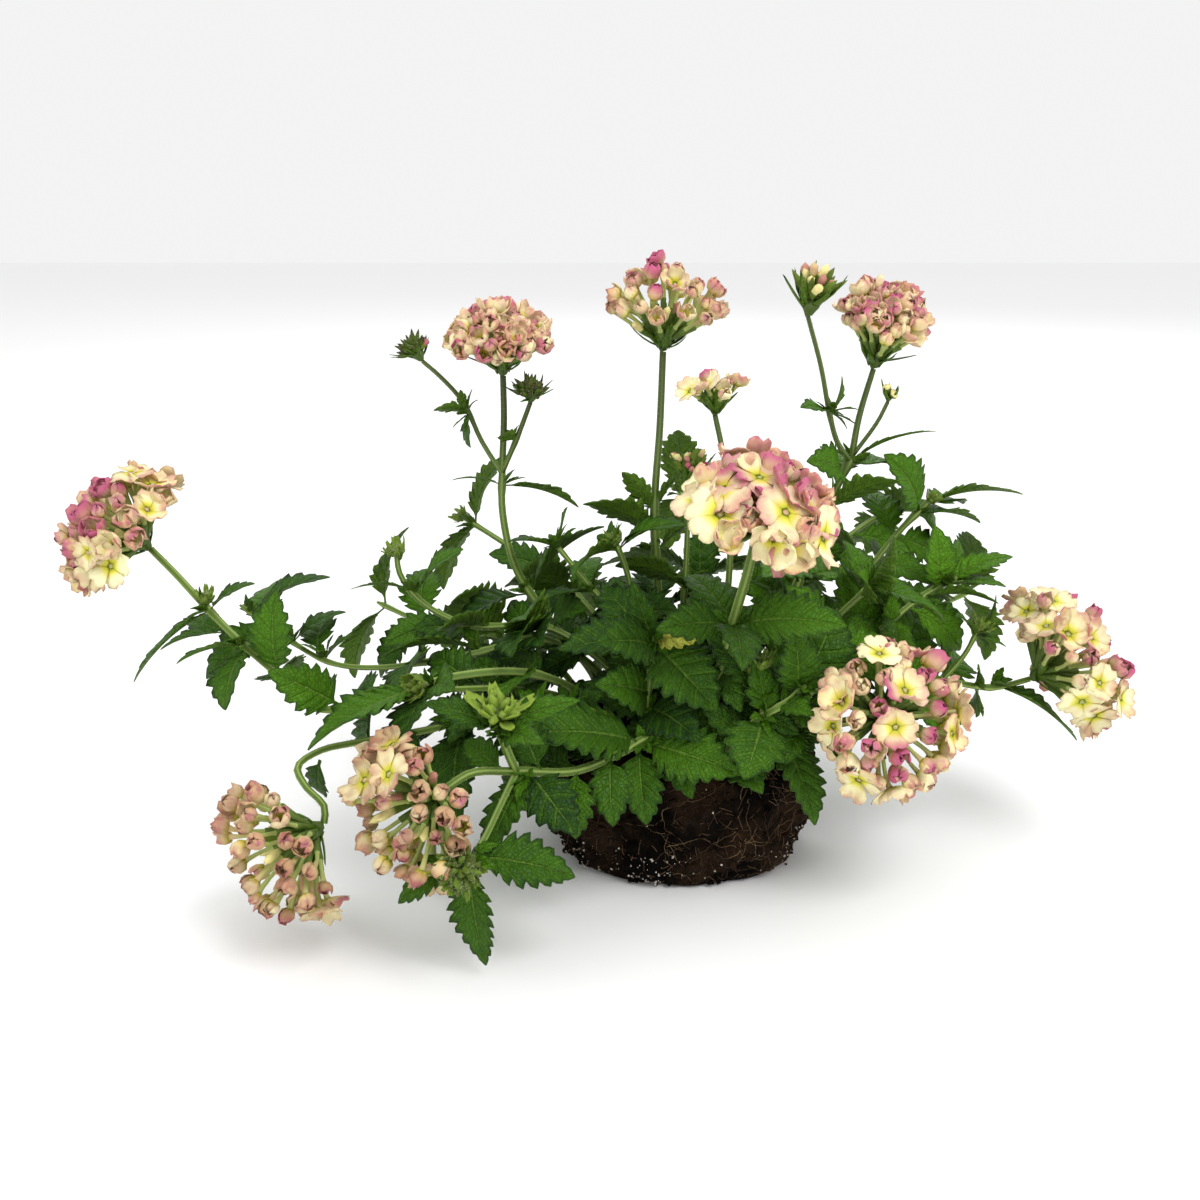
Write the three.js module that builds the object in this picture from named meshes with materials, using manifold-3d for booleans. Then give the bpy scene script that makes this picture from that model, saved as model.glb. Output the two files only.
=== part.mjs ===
// Trailing verbena on its bare root ball, in millimetres, +Z up.
// The origin is the centre of the root ball's flat underside. -Y faces the viewer.

import * as THREE from 'three';
import { mergeVertices } from 'three/addons/utils/BufferGeometryUtils.js';
import Module from 'manifold-3d';

const wasm = await Module();
wasm.setup();

// Root ball
const BALL_TOP_RADIUS = 53.5;
const BALL_FOOT_RADIUS = 46;
const BALL_FOOT_ROUNDING = 3.5;
const BALL_HEIGHT = 61;
const BALL_RIM_HEIGHT = 50;
const BALL_SIDES = 20;
const BALL_SQUARENESS = 2.7;
const BALL_SQUARE_SHARE = 0.55;
const BALL_DEPTH_RATIO = 0.94;
const BALL_SIDE_WAVES = [
  { size: 0.016, turns: 7, perHeight: 0.16, start: 0 },
  { size: 0.013, turns: 12, perHeight: -0.23, start: 1.3 },
];
const BALL_TOP_WAVE = 0.9;
const HOLE_CLEARANCE = 0.5;
const HOLE_RINGS = 1;

// Stems: square, as a verbena's are
const STEM_SIDES = 4;
const STEM_STEP = 23;
const NEAREST_TRIES = 200;
const TIP_SHARE = 0.97;

// Leaves
const LEAF_THICKNESS = 1.2;
const PETIOLE_SHARE = 0.13;
const PETIOLE_HALF_WIDTH = 0.75;
const ROOT_OFFSET = 0.45;
const LEAF_WIDTH_RATIO = 0.31;
const LEAF_BELLY = 0.72;
const LEAF_FULLNESS = 0.85;
const LEAF_FOLD = THREE.MathUtils.degToRad(16);
const LEAF_DROOP = THREE.MathUtils.degToRad(56);
const SLIGHT_DROOP = 0.25;
const FULL_DROOP = 0.75;
const LIGHT_LEAN = 0.8;
const LEAF_STEM_ANGLE = THREE.MathUtils.degToRad(58);
const LARGE_LEAF = 42;
const TEETH_LARGE = 4;
const TEETH_SMALL = 3;
const NOTCH_RATIO = 0.74;
const TOOTH_REACH = 0.72;

// Flower heads
const FLORET_LOBES = 5;
const FLORET_NOTCH = 0.8;
const TUBE_RADIUS = 0.95;
const FLORET_THICKNESS = 1.5;
const CUP_CLOSING = 0.35;
const DOME_SPREAD = 1.9;
const DOME_HEART = 0.45;
const DOME_LIFT = 0.25;
const ROOM_SHARE = 0.62;
const BUD_BELLY = 0.7;
const SEAT_FOOT = 1.3;
const SEAT_RADIUS = 5;
const SEAT_SHOULDER = 0.75;
const ROOT_SHARE = 0.72;
const HEAD_GAP = 0.35;
const BUD_SEAT_RADIUS_SHARE = 0.2;
const BUD_SEAT_HEIGHT_SHARE = 0.3;
const SIDE_BUD_LENGTH = 1.5;
const GOLDEN_ANGLE = Math.PI * (3 - Math.sqrt(5));

// Spacing between pieces
const GAP = 0.32;
const FLOOR = 1.4;
const SIMPLER_BY = 0.005;

// What a leaf is turned clear of, and how much each thing that it meets counts
const STEM_SAMPLE = 4;
const BLADE_TO_STEM = 1.3;
const NEAR_ROOT = 7;
const SOIL_MARGIN = 2;
const SOIL_FALL = 9;
const ROW_SHARES = [0.12, 0.35, 0.58, 0.8, 1];
const TIP_HALF_WIDTH = 0.5;
const EDGE_LIFTS = [-1.1, 0, 1.1];
const COUNTS = { blade: 1, stem: 1.2, head: 1.5, soil: 1.5, floor: 2 };
const ROLL_TRIES = [0, 20, -20, 40, -40, 60, -60, 85, -85];
const LIFT_TRIES = [0, 0.3, -0.3];
const TIP_TRIES = [0, 4, 8, 12];
const TIP_WAYS = 8;
const NEARLY_PARALLEL = 0.2;

// Finishes
const COLOURS = {
  soil: { color: 0x241a13, roughness: 0.95, metalness: 0 },
  foliage: { color: 0x3f7a22, roughness: 0.6, metalness: 0 },
  petal: { color: 0xe2b59a, roughness: 0.55, metalness: 0 },
  bud: { color: 0x6f7d45, roughness: 0.65, metalness: 0 },
};

// Each stem is a route of points from its foot in the soil, a foot and a tip radius, and what
// grows on it. A pair is [place along the route 0..1, leaf length, roll in degrees]. A leaf is
// [place along the route, tip x, y, z, half width], where one leaf lies by itself.
// A shoot leaves the stem at its first point. A head or a bud sits on the end of its route.
const STEMS = [
  {
    name: 'stem_left_arm', radii: [2.1, 1.5],
    route: [[-30, -12, 45], [-36, -14, 64], [-58, -22, 80], [-88, -32, 83], [-116, -38, 76],
      [-139, -42, 74], [-152, -36, 83], [-170, -28, 96], [-184, -20, 107], [-196, -14, 118],
      [-206, -10, 127]],
    pairs: [[0.5, 38, 0]],
    leaves: [[0.85, -209, -35, 82, 8], [0.85, -163, -26, 118, 6], [0.76, -190, -42, 92, 7],
      [0.76, -172, -48, 76, 11], [0.22, -72, -44, 76, 10]],
    nodeBud: [0.86, 3.4],
    head: { name: 'bloom_far_left', axis: [-0.82, -0.25, 0.5], width: 56, height: 30,
      florets: 12, radius: 9.6, cup: 0.2 },
  },
  {
    name: 'stem_left_back', radii: [1.8, 1.0],
    route: [[-22, 4, 46], [-30, 6, 66], [-56, 2, 86], [-85, -5, 82], [-120, -12, 79],
      [-139, -12, 81], [-157, -8, 90], [-173, -12, 105]],
    pairs: [[0.3, 40, 60], [0.56, 36, 10]],
    leaves: [[1.0, -139, -5, 114, 9], [0.86, -134, -3, 99, 7], [0.78, -131, -14, 92, 6],
      [0.44, -117, -24, 88, 8]],
    shoots: [
      { route: [[-157, -8, 90], [-170, -7, 91], [-181, -8, 92]], radii: [0.9, 0.8],
        leaves: [[1.0, -204, -16, 88, 6], [1.0, -199, 4, 92, 6]] },
    ],
  },
  {
    name: 'stem_front_left', radii: [1.9, 1.4],
    route: [[-4, -31, 42], [-6, -36, 58], [-13, -46, 65], [-25, -57, 63], [-42, -67, 60],
      [-63, -76, 64], [-78, -84, 67], [-87, -89, 63]],
    leaves: [[0.3, 17, -67, 57, 12], [0.3, -62, -66, 70, 14], [0.72, -41, -86, 45, 10],
      [0.72, -72, -93, 38, 9]],
    shoots: [
      { route: [[-63, -76, 64], [-66, -78, 74], [-68, -78, 83]], radii: [1.7, 1.5],
        leaves: [[0.9, -40, -78, 91, 6], [0.9, -94, -76, 90, 6], [0.8, -52, -98, 84, 6]],
        head: { name: 'bud_head_front', axis: [0, -0.2, 1], width: 24, height: 15, buds: 8,
          radius: 2.4 } },
      { route: [[-63, -76, 64], [-68, -85, 55], [-73, -94, 47], [-77, -103, 44],
        [-79, -110, 45]], radii: [1.4, 1.3],
        leaves: [[0.9, -73, -108, 6, 9], [0.88, -42, -100, 35, 10],
          [0.9, -102, -104, 28, 7]],
        head: { name: 'bud_head_low', axis: [-0.1, -0.9, 0.3], width: 20, height: 13, buds: 7,
          radius: 2.2 } },
    ],
    head: { name: 'bloom_front_left', axis: [-0.75, -0.55, -0.1], width: 56, height: 32,
      florets: 13, radius: 9.2, cup: 0.4 },
  },
  {
    name: 'stem_looped', radii: [1.9, 1.3],
    route: [[-25, -24, 44], [-31, -29, 64], [-62, -44, 75], [-95, -52, 70], [-124, -51, 64],
      [-136, -56, 63], [-143, -63, 60], [-139, -71, 56], [-131, -78, 51], [-131, -81, 46]],
    pairs: [[0.46, 40, 0]],
    leaves: [[0.22, -44, -58, 78, 10], [0.3, -84, -62, 70, 10]],
    head: { name: 'bloom_low_left', axis: [-0.93, -0.3, -0.22], width: 54, height: 32,
      florets: 13, radius: 9.0, cup: 0.45 },
  },
  {
    name: 'stem_tall_left', radii: [1.9, 1.2],
    route: [[-31, 14, 45], [-35, 15, 64], [-54, 15, 90], [-67, 14, 112], [-72, 15, 135],
      [-72, 18, 151], [-71, 20, 172], [-71, 20, 189]],
    pairs: [[0.22, 42, 20], [0.42, 42, 90]],
    leaves: [[0.72, -42, 20, 136, 8], [0.72, -92, 20, 147, 3]],
    shoots: [
      { route: [[-72, 18, 150], [-80, 20, 163], [-87, 22, 178], [-96, 24, 188],
        [-103, 25, 194]], radii: [1.1, 0.9],
        leaves: [[0.5, -84, 14, 162, 6], [0.5, -98, 14, 176, 4]],
        head: { name: 'bud_head_left', axis: [-0.5, -0.1, 0.85], width: 17, height: 12,
          buds: 7, radius: 1.9 } },
      { route: [[-72, 18, 151], [-65, 15, 167], [-60, 12, 180]], radii: [1.1, 0.9],
        leaves: [[0.45, -71, 6, 168, 4]],
        head: { name: 'bud_head_under', axis: [0.1, -0.3, 1], width: 19, height: 10,
          buds: 7, radius: 2.0 } },
    ],
    head: { name: 'bloom_tall_left', axis: [0.0, -0.18, 1], width: 48, height: 27,
      florets: 13, radius: 8.8, cup: 0.4 },
  },
  {
    name: 'stem_tall_middle', radii: [1.9, 1.3],
    route: [[-4, 18, 47], [-6, 20, 66], [-9, 21, 100], [-11, 20, 135], [-9, 26, 168],
      [-8, 30, 197]],
    pairs: [[0.3, 40, 10]],
    leaves: [[0.52, -39, 14, 139, 11], [0.58, -24, 12, 152, 5], [0.58, 4, 26, 152, 5],
      [0.46, 14, 34, 130, 9]],
    head: { name: 'bloom_tall_middle', axis: [0.02, -0.1, 1], width: 56, height: 36,
      florets: 14, radius: 8.8, cup: 0.45 },
  },
  {
    name: 'stem_small_bloom', radii: [1.6, 1.0],
    route: [[11, 4, 47], [13, 2, 66], [17, -2, 100], [17, -8, 140], [13, -10, 166],
      [10, -10, 179]],
    head: { name: 'bloom_small', axis: [0, -0.05, 1], width: 32, height: 15, florets: 5,
      radius: 7.6, cup: 0.2, spread: 0.85 },
  },
  {
    name: 'stem_bud_middle', radii: [1.5, 1.0],
    route: [[-4, 2, 47], [-3, 3, 66], [1, 8, 106], [2, 10, 148]],
    pairs: [[0.58, 30, 130]],
    head: { name: 'bud_head_middle', axis: [0.05, -0.1, 1], width: 19, height: 13, buds: 7,
      radius: 2.0 },
  },
  {
    name: 'stem_tall_right', radii: [2.0, 1.5],
    route: [[30, 15, 46], [34, 17, 65], [50, 21, 108], [61, 22, 140], [68, 21, 157]],
    pairs: [[0.52, 44, 120]],
    leaves: [[0.98, 100, 20, 167, 4], [0.96, 96, 34, 147, 8], [0.8, 84, 4, 150, 8]],
    shoots: [
      { route: [[67, 21, 155], [61, 17, 163], [57, 14, 174], [52, 11, 194], [46, 10, 213]],
        radii: [1.3, 1.0],
        leaves: [[0.38, 44, 6, 179, 5], [0.38, 68, 18, 184, 5]],
        head: { name: 'bud_head_right', axis: [-0.15, -0.15, 1], width: 24, height: 18,
          buds: 8, radius: 2.3 } },
      { route: [[68, 21, 156], [70, 23, 172], [75, 25, 191]], radii: [1.4, 1.1],
        head: { name: 'bloom_tall_right', axis: [0.12, -0.15, 1], width: 44, height: 33,
          florets: 12, radius: 8.8, cup: 0.4 } },
      { route: [[69, 21, 162], [76, 15, 172], [79, 13, 180]], radii: [0.9, 0.8],
        head: { name: 'bud_head_under_right', axis: [0.1, -0.2, 1], width: 9, height: 6,
          buds: 5, radius: 1.5 } },
    ],
  },
  {
    name: 'stem_front_bloom', radii: [2.2, 1.7],
    route: [[7, -29, 45], [9, -33, 64], [12, -44, 92], [15, -52, 112], [19, -57, 132],
      [21, -60, 144]],
    pairs: [[0.66, 30, 100]],
    leaves: [[0.66, -13, -60, 112, 9], [0.66, 54, -60, 114, 12]],
    head: { name: 'bloom_front', axis: [0.12, -0.62, 0.76], width: 62, height: 27,
      florets: 14, radius: 10.5, cup: 0.1 },
  },
  {
    name: 'stem_low_right', radii: [1.9, 1.5],
    route: [[22, -27, 45], [26, -33, 61], [36, -46, 70], [52, -51, 72], [68, -50, 74]],
    leaves: [[0.42, 46, -64, 37, 11], [0.62, 60, -68, 62, 8]],
    head: { name: 'bloom_low_right', axis: [0.6, -0.78, 0.05], width: 62, height: 26,
      florets: 12, radius: 10.0, cup: 0.2, hollow: 0.42 },
  },
  {
    name: 'stem_far_right', radii: [1.9, 1.3],
    route: [[40, 2, 46], [46, 2, 62], [70, -2, 73], [100, -6, 72], [124, -8, 69],
      [138, -9, 73]],
    pairs: [[0.5, 40, 60]],
    leaves: [[0.86, 158, -12, 48, 9]],
    shoots: [
      { route: [[104, -6, 72], [111, -9, 83], [115, -11, 94]], radii: [1.1, 0.9],
        leaves: [[0.9, 104, -18, 103, 5], [0.9, 128, -6, 98, 5]],
        tipBud: 3.4 },
    ],
    head: { name: 'bloom_far_right', axis: [0.72, 0.3, 0.4], width: 62, height: 32,
      florets: 13, radius: 9.4, cup: 0.35 },
  },
  {
    name: 'stem_right_upper', radii: [1.9, 1.2],
    route: [[42, 17, 45], [48, 19, 62], [70, 24, 96], [90, 27, 124], [103, 28, 138]],
    pairs: [[0.36, 42, 90], [0.62, 41, 10]],
    leaves: [[1.0, 138, 25, 140, 9], [1.0, 124, 44, 138, 8], [0.92, 124, 34, 126, 9],
      [0.9, 90, 56, 146, 9]],
    tipBud: 3,
  },
  {
    name: 'stem_right_side', radii: [1.8, 1.1],
    route: [[37, -12, 45], [44, -13, 61], [70, -8, 86], [94, 0, 104], [106, 2, 111]],
    pairs: [[0.36, 40, 20]],
    leaves: [[0.72, 80, -24, 84, 11], [1.0, 132, 10, 118, 7], [0.95, 127, -2, 109, 6],
      [0.88, 123, -14, 104, 6], [0.95, 114, 22, 121, 6]],
    tipBud: 2.8,
  },
  {
    name: 'stem_right_middle', radii: [1.9, 1.2],
    route: [[28, -11, 46], [32, -15, 64], [46, -22, 90], [60, -22, 106], [71, -20, 116]],
    pairs: [[0.4, 40, 60]],
    leaves: [[1.0, 97, -30, 104, 13], [0.95, 80, -34, 132, 12], [0.95, 62, -2, 128, 9]],
  },
  {
    name: 'stem_front_right', radii: [2.0, 1.4],
    route: [[13, -38, 43], [16, -45, 60], [25, -53, 74], [36, -56, 83], [42, -54, 88]],
    leaves: [[0.95, 54, -40, 112, 15], [0.95, 76, -36, 96, 14], [0.66, 19, -72, 59, 13],
      [0.8, 54, -64, 62, 7]],
    shoots: [
      { route: [[27, -54, 76], [26, -53, 85], [25, -52, 91]], radii: [1.2, 1.0],
        leaves: [[0.5, 7, -46, 105, 8]], tipBud: 4.6 },
    ],
  },
  {
    name: 'stem_back_left', radii: [1.8, 1.1],
    route: [[-17, 30, 46], [-22, 36, 64], [-48, 62, 90], [-78, 84, 104], [-98, 100, 112]],
    pairs: [[0.45, 46, 30], [0.92, 36, 110]],
    tipBud: 3.2,
  },
  {
    name: 'stem_back_middle', radii: [1.8, 1.1],
    route: [[6, 36, 45], [8, 44, 64], [12, 74, 94], [8, 104, 112], [4, 124, 120]],
    pairs: [[0.5, 46, 10], [0.94, 36, 90]],
    tipBud: 3.2,
  },
  {
    name: 'stem_back_right', radii: [1.8, 1.1],
    route: [[27, 30, 46], [32, 38, 64], [58, 66, 92], [84, 88, 108], [102, 98, 116]],
    pairs: [[0.45, 46, 60], [0.92, 36, 140]],
    tipBud: 3.2,
  },
  {
    name: 'stem_back_low_left', radii: [1.8, 1.2],
    route: [[-40, 22, 45], [-48, 28, 61], [-78, 44, 72], [-108, 54, 74], [-132, 62, 82]],
    pairs: [[0.45, 46, 60], [0.96, 38, 100]],
  },
  {
    name: 'stem_back_low_right', radii: [1.8, 1.2],
    route: [[46, 30, 44], [54, 38, 60], [84, 56, 74], [112, 66, 76], [134, 72, 84]],
    pairs: [[0.45, 46, 60], [0.96, 38, 100]],
  },
  {
    name: 'stem_left_bud', radii: [1.7, 1.1],
    route: [[-14, -8, 47], [-20, -8, 66], [-52, -3, 92], [-86, 2, 92], [-104, 1, 102],
      [-112, 0, 114], [-113, 0, 124]],
    pairs: [[0.46, 38, 110]],
    leaves: [[0.86, -86, -6, 126, 8], [0.86, -130, -8, 110, 4], [0.62, -104, -14, 96, 11],
      [0.34, -44, -24, 92, 10]],
    tipBud: 3.4,
  },
  {
    name: 'stem_left_middle', radii: [1.8, 1.3],
    route: [[-40, 0, 45], [-46, -3, 61], [-70, -22, 74], [-90, -40, 81], [-99, -50, 86]],
    pairs: [[0.5, 40, 30]],
    leaves: [[0.93, -138, -66, 68, 14], [0.93, -104, -70, 62, 11], [0.93, -84, -68, 84, 8]],
    tipBud: 4.4,
  },
  {
    name: 'stem_rosette', radii: [1.6, 1.1],
    route: [[-16, 12, 47], [-18, 10, 66], [-19, 7, 94], [-22, 6, 112], [-27, 5, 126]],
    pairs: [[0.95, 30, 100]],
    tipBud: 3.2,
    shoots: [
      { route: [[-19, 8, 88], [-32, 3, 102], [-42, 4, 114], [-50, 5, 124]],
        radii: [1.2, 1.0],
        leaves: [[1.0, -69, 3, 126, 7], [1.0, -46, 2, 140, 6], [0.5, -56, -6, 104, 9]] },
    ],
  },
  {
    name: 'stem_centre_front', radii: [1.8, 1.2],
    route: [[-13, -28, 45], [-15, -31, 64], [-14, -33, 84], [-13, -34, 100]],
    pairs: [[0.45, 36, 110]],
    leaves: [[0.95, 9, -57, 79, 14], [0.95, -48, -40, 96, 11], [0.95, -21, -36, 122, 6]],
  },
];

const UP = new THREE.Vector3(0, 0, 1);
const RIGHT = new THREE.Vector3(1, 0, 0);
const FORWARD = new THREE.Vector3(0, 1, 0);
const vector = (xyz) => new THREE.Vector3(...xyz);

// Turns a closed three.js geometry into a solid.
function solidOf(geometry) {
  const bare = geometry.clone();
  for (const name of Object.keys(bare.attributes)) {
    if (name !== 'position') bare.deleteAttribute(name);
  }
  const merged = mergeVertices(bare, 1e-4);
  return new wasm.Manifold(new wasm.Mesh({
    numProp: 3,
    vertProperties: new Float32Array(merged.attributes.position.array),
    triVerts: new Uint32Array(merged.index.array),
  }));
}

// Turns corner points and triangles into a solid.
function solidFrom(points, triangles) {
  const geometry = new THREE.BufferGeometry().setFromPoints(points);
  geometry.setIndex(triangles.flat());
  return solidOf(geometry);
}

function geometryOf(solid) {
  const mesh = solid.getMesh();
  const geometry = new THREE.BufferGeometry();
  geometry.setAttribute('position', new THREE.BufferAttribute(mesh.vertProperties, 3));
  geometry.setIndex(new THREE.BufferAttribute(mesh.triVerts, 1));
  return geometry;
}

// The straight steps that a stem takes along its smooth route.
function stepsOf(route) {
  const curve = new THREE.CatmullRomCurve3(route, false, 'centripetal');
  const count = Math.max(2, Math.round(curve.getLength() / STEM_STEP));
  return { count, points: curve.getSpacedPoints(count),
    frames: curve.computeFrenetFrames(count, false), length: curve.getLength() };
}

// Where on those steps a share of the way lies, and which way they run there.
function placeOn({ count, points }, share) {
  const step = Math.min(count - 1, Math.floor(share * count));
  const along = points[step + 1].clone().sub(points[step]);
  return { point: points[step].clone().addScaledVector(along, share * count - step),
    along: along.normalize() };
}

// The place on those steps that lies nearest to a point.
function nearestOn(steps, target) {
  const shares = Array.from({ length: NEAREST_TRIES + 1 }, (_, i) => i / NEAREST_TRIES);
  const places = shares.map((share) => placeOn(steps, share).point);
  return places.reduce((best, place) => (
    place.distanceTo(target) < best.distanceTo(target) ? place : best));
}

// A stem with a square section that tapers along its steps, as far as a given ring.
function tube({ count, points, frames }, [footRadius, tipRadius], grow = 0, lastRing = count) {
  const straight = new THREE.CylinderGeometry(1, 1, 1, STEM_SIDES, lastRing);
  const places = straight.attributes.position;
  const point = new THREE.Vector3();
  for (let i = 0; i < places.count; i += 1) {
    point.fromBufferAttribute(places, i);
    const ring = Math.round((point.y + 0.5) * lastRing);
    const radius = THREE.MathUtils.lerp(footRadius, tipRadius, ring / count) + grow;
    const centre = points[ring].clone();
    if (ring === 0) centre.addScaledVector(frames.tangents[0], -grow);
    if (ring === lastRing) centre.addScaledVector(frames.tangents[ring], grow);
    centre.addScaledVector(frames.normals[ring], point.z * radius);
    centre.addScaledVector(frames.binormals[ring], point.x * radius);
    places.setXYZ(i, centre.x, centre.y, centre.z);
  }
  return solidOf(straight);
}

// A leaf's midrib is an arc that starts at its root and bends down over its length.
function leafAt(leaf, share) {
  const bend = leaf.droop * share;
  const forward = leaf.length * Math.sin(bend) / leaf.droop;
  const down = leaf.length * (1 - Math.cos(bend)) / leaf.droop;
  const point = leaf.root.clone().addScaledVector(leaf.ahead, forward)
    .addScaledVector(leaf.top, -down);
  const up = leaf.ahead.clone().multiplyScalar(Math.sin(bend))
    .addScaledVector(leaf.top, Math.cos(bend));
  return { point, up };
}

function leafHalfWidth(leaf, share) {
  const blade = Math.max(0, (share - PETIOLE_SHARE) / (1 - PETIOLE_SHARE));
  const swell = Math.sin(Math.PI * blade ** LEAF_BELLY) ** LEAF_FULLNESS;
  return Math.max(PETIOLE_HALF_WIDTH, leaf.halfWidth * swell);
}

function leafEdge(leaf, share, side, halfWidth) {
  const { point, up } = leafAt(leaf, share);
  return point.addScaledVector(leaf.side, side * halfWidth * Math.cos(LEAF_FOLD))
    .addScaledVector(up, halfWidth * Math.sin(LEAF_FOLD));
}

// A toothed blade, thickest at the midrib, that narrows to its root.
function bladeSolid(leaf, grow = 0) {
  const teeth = leaf.length < LARGE_LEAF ? TEETH_SMALL : TEETH_LARGE;
  const points = [];
  const triangles = [];
  const put = (point) => points.push(point) - 1;
  const half = LEAF_THICKNESS / 2 + grow;
  const ribs = Array.from({ length: teeth }, (_, i) => {
    const { point, up } = leafAt(leaf, i / teeth);
    return [put(point.clone().addScaledVector(up, half)),
      put(point.clone().addScaledVector(up, -half))];
  });
  const tip = put(leafAt(leaf, 1 + grow / leaf.length).point);
  for (const side of [1, -1]) {
    const corner = (share, cut) => put(
      leafEdge(leaf, share, side, leafHalfWidth(leaf, share) * cut + grow));
    const peaks = ribs.map((_, i) => corner((i + TOOTH_REACH) / teeth, 1));
    const notches = ribs.map((_, i) => (i > 0 ? corner(i / teeth, NOTCH_RATIO) : null));
    const turned = (a, b, c) => triangles.push(side > 0 ? [a, b, c] : [a, c, b]);
    turned(ribs[0][1], peaks[0], ribs[0][0]);
    for (const layer of [0, 1]) {
      const face = (a, b, c) => (layer === 0 ? turned(a, b, c) : turned(a, c, b));
      for (let i = 0; i < teeth; i += 1) {
        const next = i === teeth - 1 ? tip : ribs[i + 1][layer];
        if (i > 0) face(ribs[i][layer], notches[i], peaks[i]);
        face(ribs[i][layer], peaks[i], next);
        if (next !== tip) face(next, peaks[i], notches[i + 1]);
      }
    }
  }
  return solidFrom(points, triangles);
}

// The middle surface of a blade, as rows of left edge, midrib and right edge.
function bladeRows(leaf) {
  return ROW_SHARES.map((share) => {
    const halfWidth = share === 1 ? TIP_HALF_WIDTH : leafHalfWidth(leaf, share);
    const { point, up } = leafAt(leaf, share);
    return { left: leafEdge(leaf, share, -1, halfWidth), rib: point,
      right: leafEdge(leaf, share, 1, halfWidth), up };
  });
}

function bladeFaces(rows) {
  const faces = [];
  for (let i = 0; i + 1 < rows.length; i += 1) {
    const [a, b] = [rows[i], rows[i + 1]];
    faces.push([a.left, a.rib, b.left], [b.left, a.rib, b.rib]);
    faces.push([a.rib, a.right, b.rib], [b.rib, a.right, b.right]);
  }
  return faces;
}

// Lines along and across a blade, on its middle surface and just above and below it.
function bladeLines(rows) {
  const lines = [];
  for (const lift of EDGE_LIFTS) {
    const raised = rows.map(({ left, rib, right, up }) => [left, rib, right].map(
      (point) => point.clone().addScaledVector(up, lift)));
    raised.forEach((row, i) => {
      lines.push([row[0], row[1]], [row[1], row[2]]);
      if (i > 0) row.forEach((point, k) => lines.push([raised[i - 1][k], point]));
    });
  }
  return lines;
}

function lineMeetsFace([from, to], [a, b, c]) {
  const run = to.clone().sub(from);
  const ab = b.clone().sub(a);
  const ac = c.clone().sub(a);
  const p = run.clone().cross(ac);
  const det = ab.dot(p);
  if (Math.abs(det) < 1e-9) return false;
  const offset = from.clone().sub(a);
  const u = offset.dot(p) / det;
  if (u < 0 || u > 1) return false;
  const q = offset.clone().cross(ab);
  const v = run.dot(q) / det;
  if (v < 0 || u + v > 1) return false;
  const t = ac.dot(q) / det;
  return t >= 0 && t <= 1;
}

function shapeOf(leaf) {
  const rows = bladeRows(leaf);
  const centre = rows[2].rib.clone();
  const points = rows.flatMap(({ left, rib, right }) => [left, rib, right,
    left.clone().lerp(rib, 0.5), right.clone().lerp(rib, 0.5)]);
  const reach = Math.max(...points.map((point) => point.distanceTo(centre)));
  return { leaf, rows, centre, points, reach, faces: bladeFaces(rows), lines: bladeLines(rows) };
}

function bladesCross(one, other) {
  if (one.centre.distanceTo(other.centre) > one.reach + other.reach + 2) return false;
  const hits = (lines, faces) => lines.some((line) => faces.some(
    (face) => lineMeetsFace(line, face)));
  return hits(one.lines, other.faces) || hits(other.lines, one.faces);
}

// Whether a blade meets a stem, away from the blade's own root.
function meetsStem({ leaf, points, faces }, line) {
  const atRoot = (spot) => line.stem === leaf.stem && spot.distanceTo(leaf.root) < NEAR_ROOT;
  const tooNear = line.radius + BLADE_TO_STEM;
  return line.points.some((spot) => !atRoot(spot)
      && points.some((point) => point.distanceTo(spot) < tooNear))
    || line.spans.some((span) => !atRoot(span[0])
      && faces.some((face) => lineMeetsFace(span, face)));
}

// Counts what a blade would run into.
function hitsOf(shape, placed, surroundings) {
  const { points } = shape;
  const inBall = (ball) => points.some((point) => point.distanceTo(ball.centre) < ball.radius);
  const blades = placed.filter((other) => bladesCross(shape, other)).length;
  const stems = surroundings.stems.filter((line) => meetsStem(shape, line)).length;
  const heads = surroundings.balls.filter(inBall).length;
  return blades * COUNTS.blade + stems * COUNTS.stem + heads * COUNTS.head
    + (points.some(inSoil) ? COUNTS.soil : 0)
    + (points.some(({ z }) => z < FLOOR) ? COUNTS.floor : 0);
}

function inSoil({ x, y, z }) {
  const across = Math.hypot(x, y / BALL_DEPTH_RATIO);
  const top = BALL_HEIGHT + SOIL_MARGIN - SOIL_FALL * (across / BALL_TOP_RADIUS) ** 3;
  return across < BALL_TOP_RADIUS + SOIL_MARGIN && z < top;
}

// The sideways direction of a leaf whose face turns up and out to the light.
function sideOf(root, ahead) {
  const light = new THREE.Vector3(root.x, root.y, 0).normalize().multiplyScalar(LIGHT_LEAN)
    .add(UP);
  const side = ahead.clone().cross(light);
  if (side.length() < NEARLY_PARALLEL) side.crossVectors(ahead, RIGHT);
  return side.normalize();
}

function makeLeaf(stem, root, ahead, length, halfWidth, droop = LEAF_DROOP) {
  const side = sideOf(root, ahead);
  const top = side.clone().cross(ahead).normalize();
  const foot = root.clone().addScaledVector(ahead, ROOT_OFFSET);
  return { stem, root: foot, ahead, side, top, length, halfWidth, droop };
}

// Leaf that reaches a given tip: it starts higher than the straight way there, then bends.
function leafToTip(stem, root, tip, halfWidth) {
  const way = tip.clone().sub(root);
  const chord = way.length();
  way.normalize();
  const droop = THREE.MathUtils.lerp(SLIGHT_DROOP, FULL_DROOP, Math.hypot(way.x, way.y));
  const length = chord * (droop / 2) / Math.sin(droop / 2);
  const ahead = way.clone().applyAxisAngle(sideOf(root, way), droop / 2);
  return makeLeaf(stem, root, ahead, length, halfWidth, droop);
}

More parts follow.
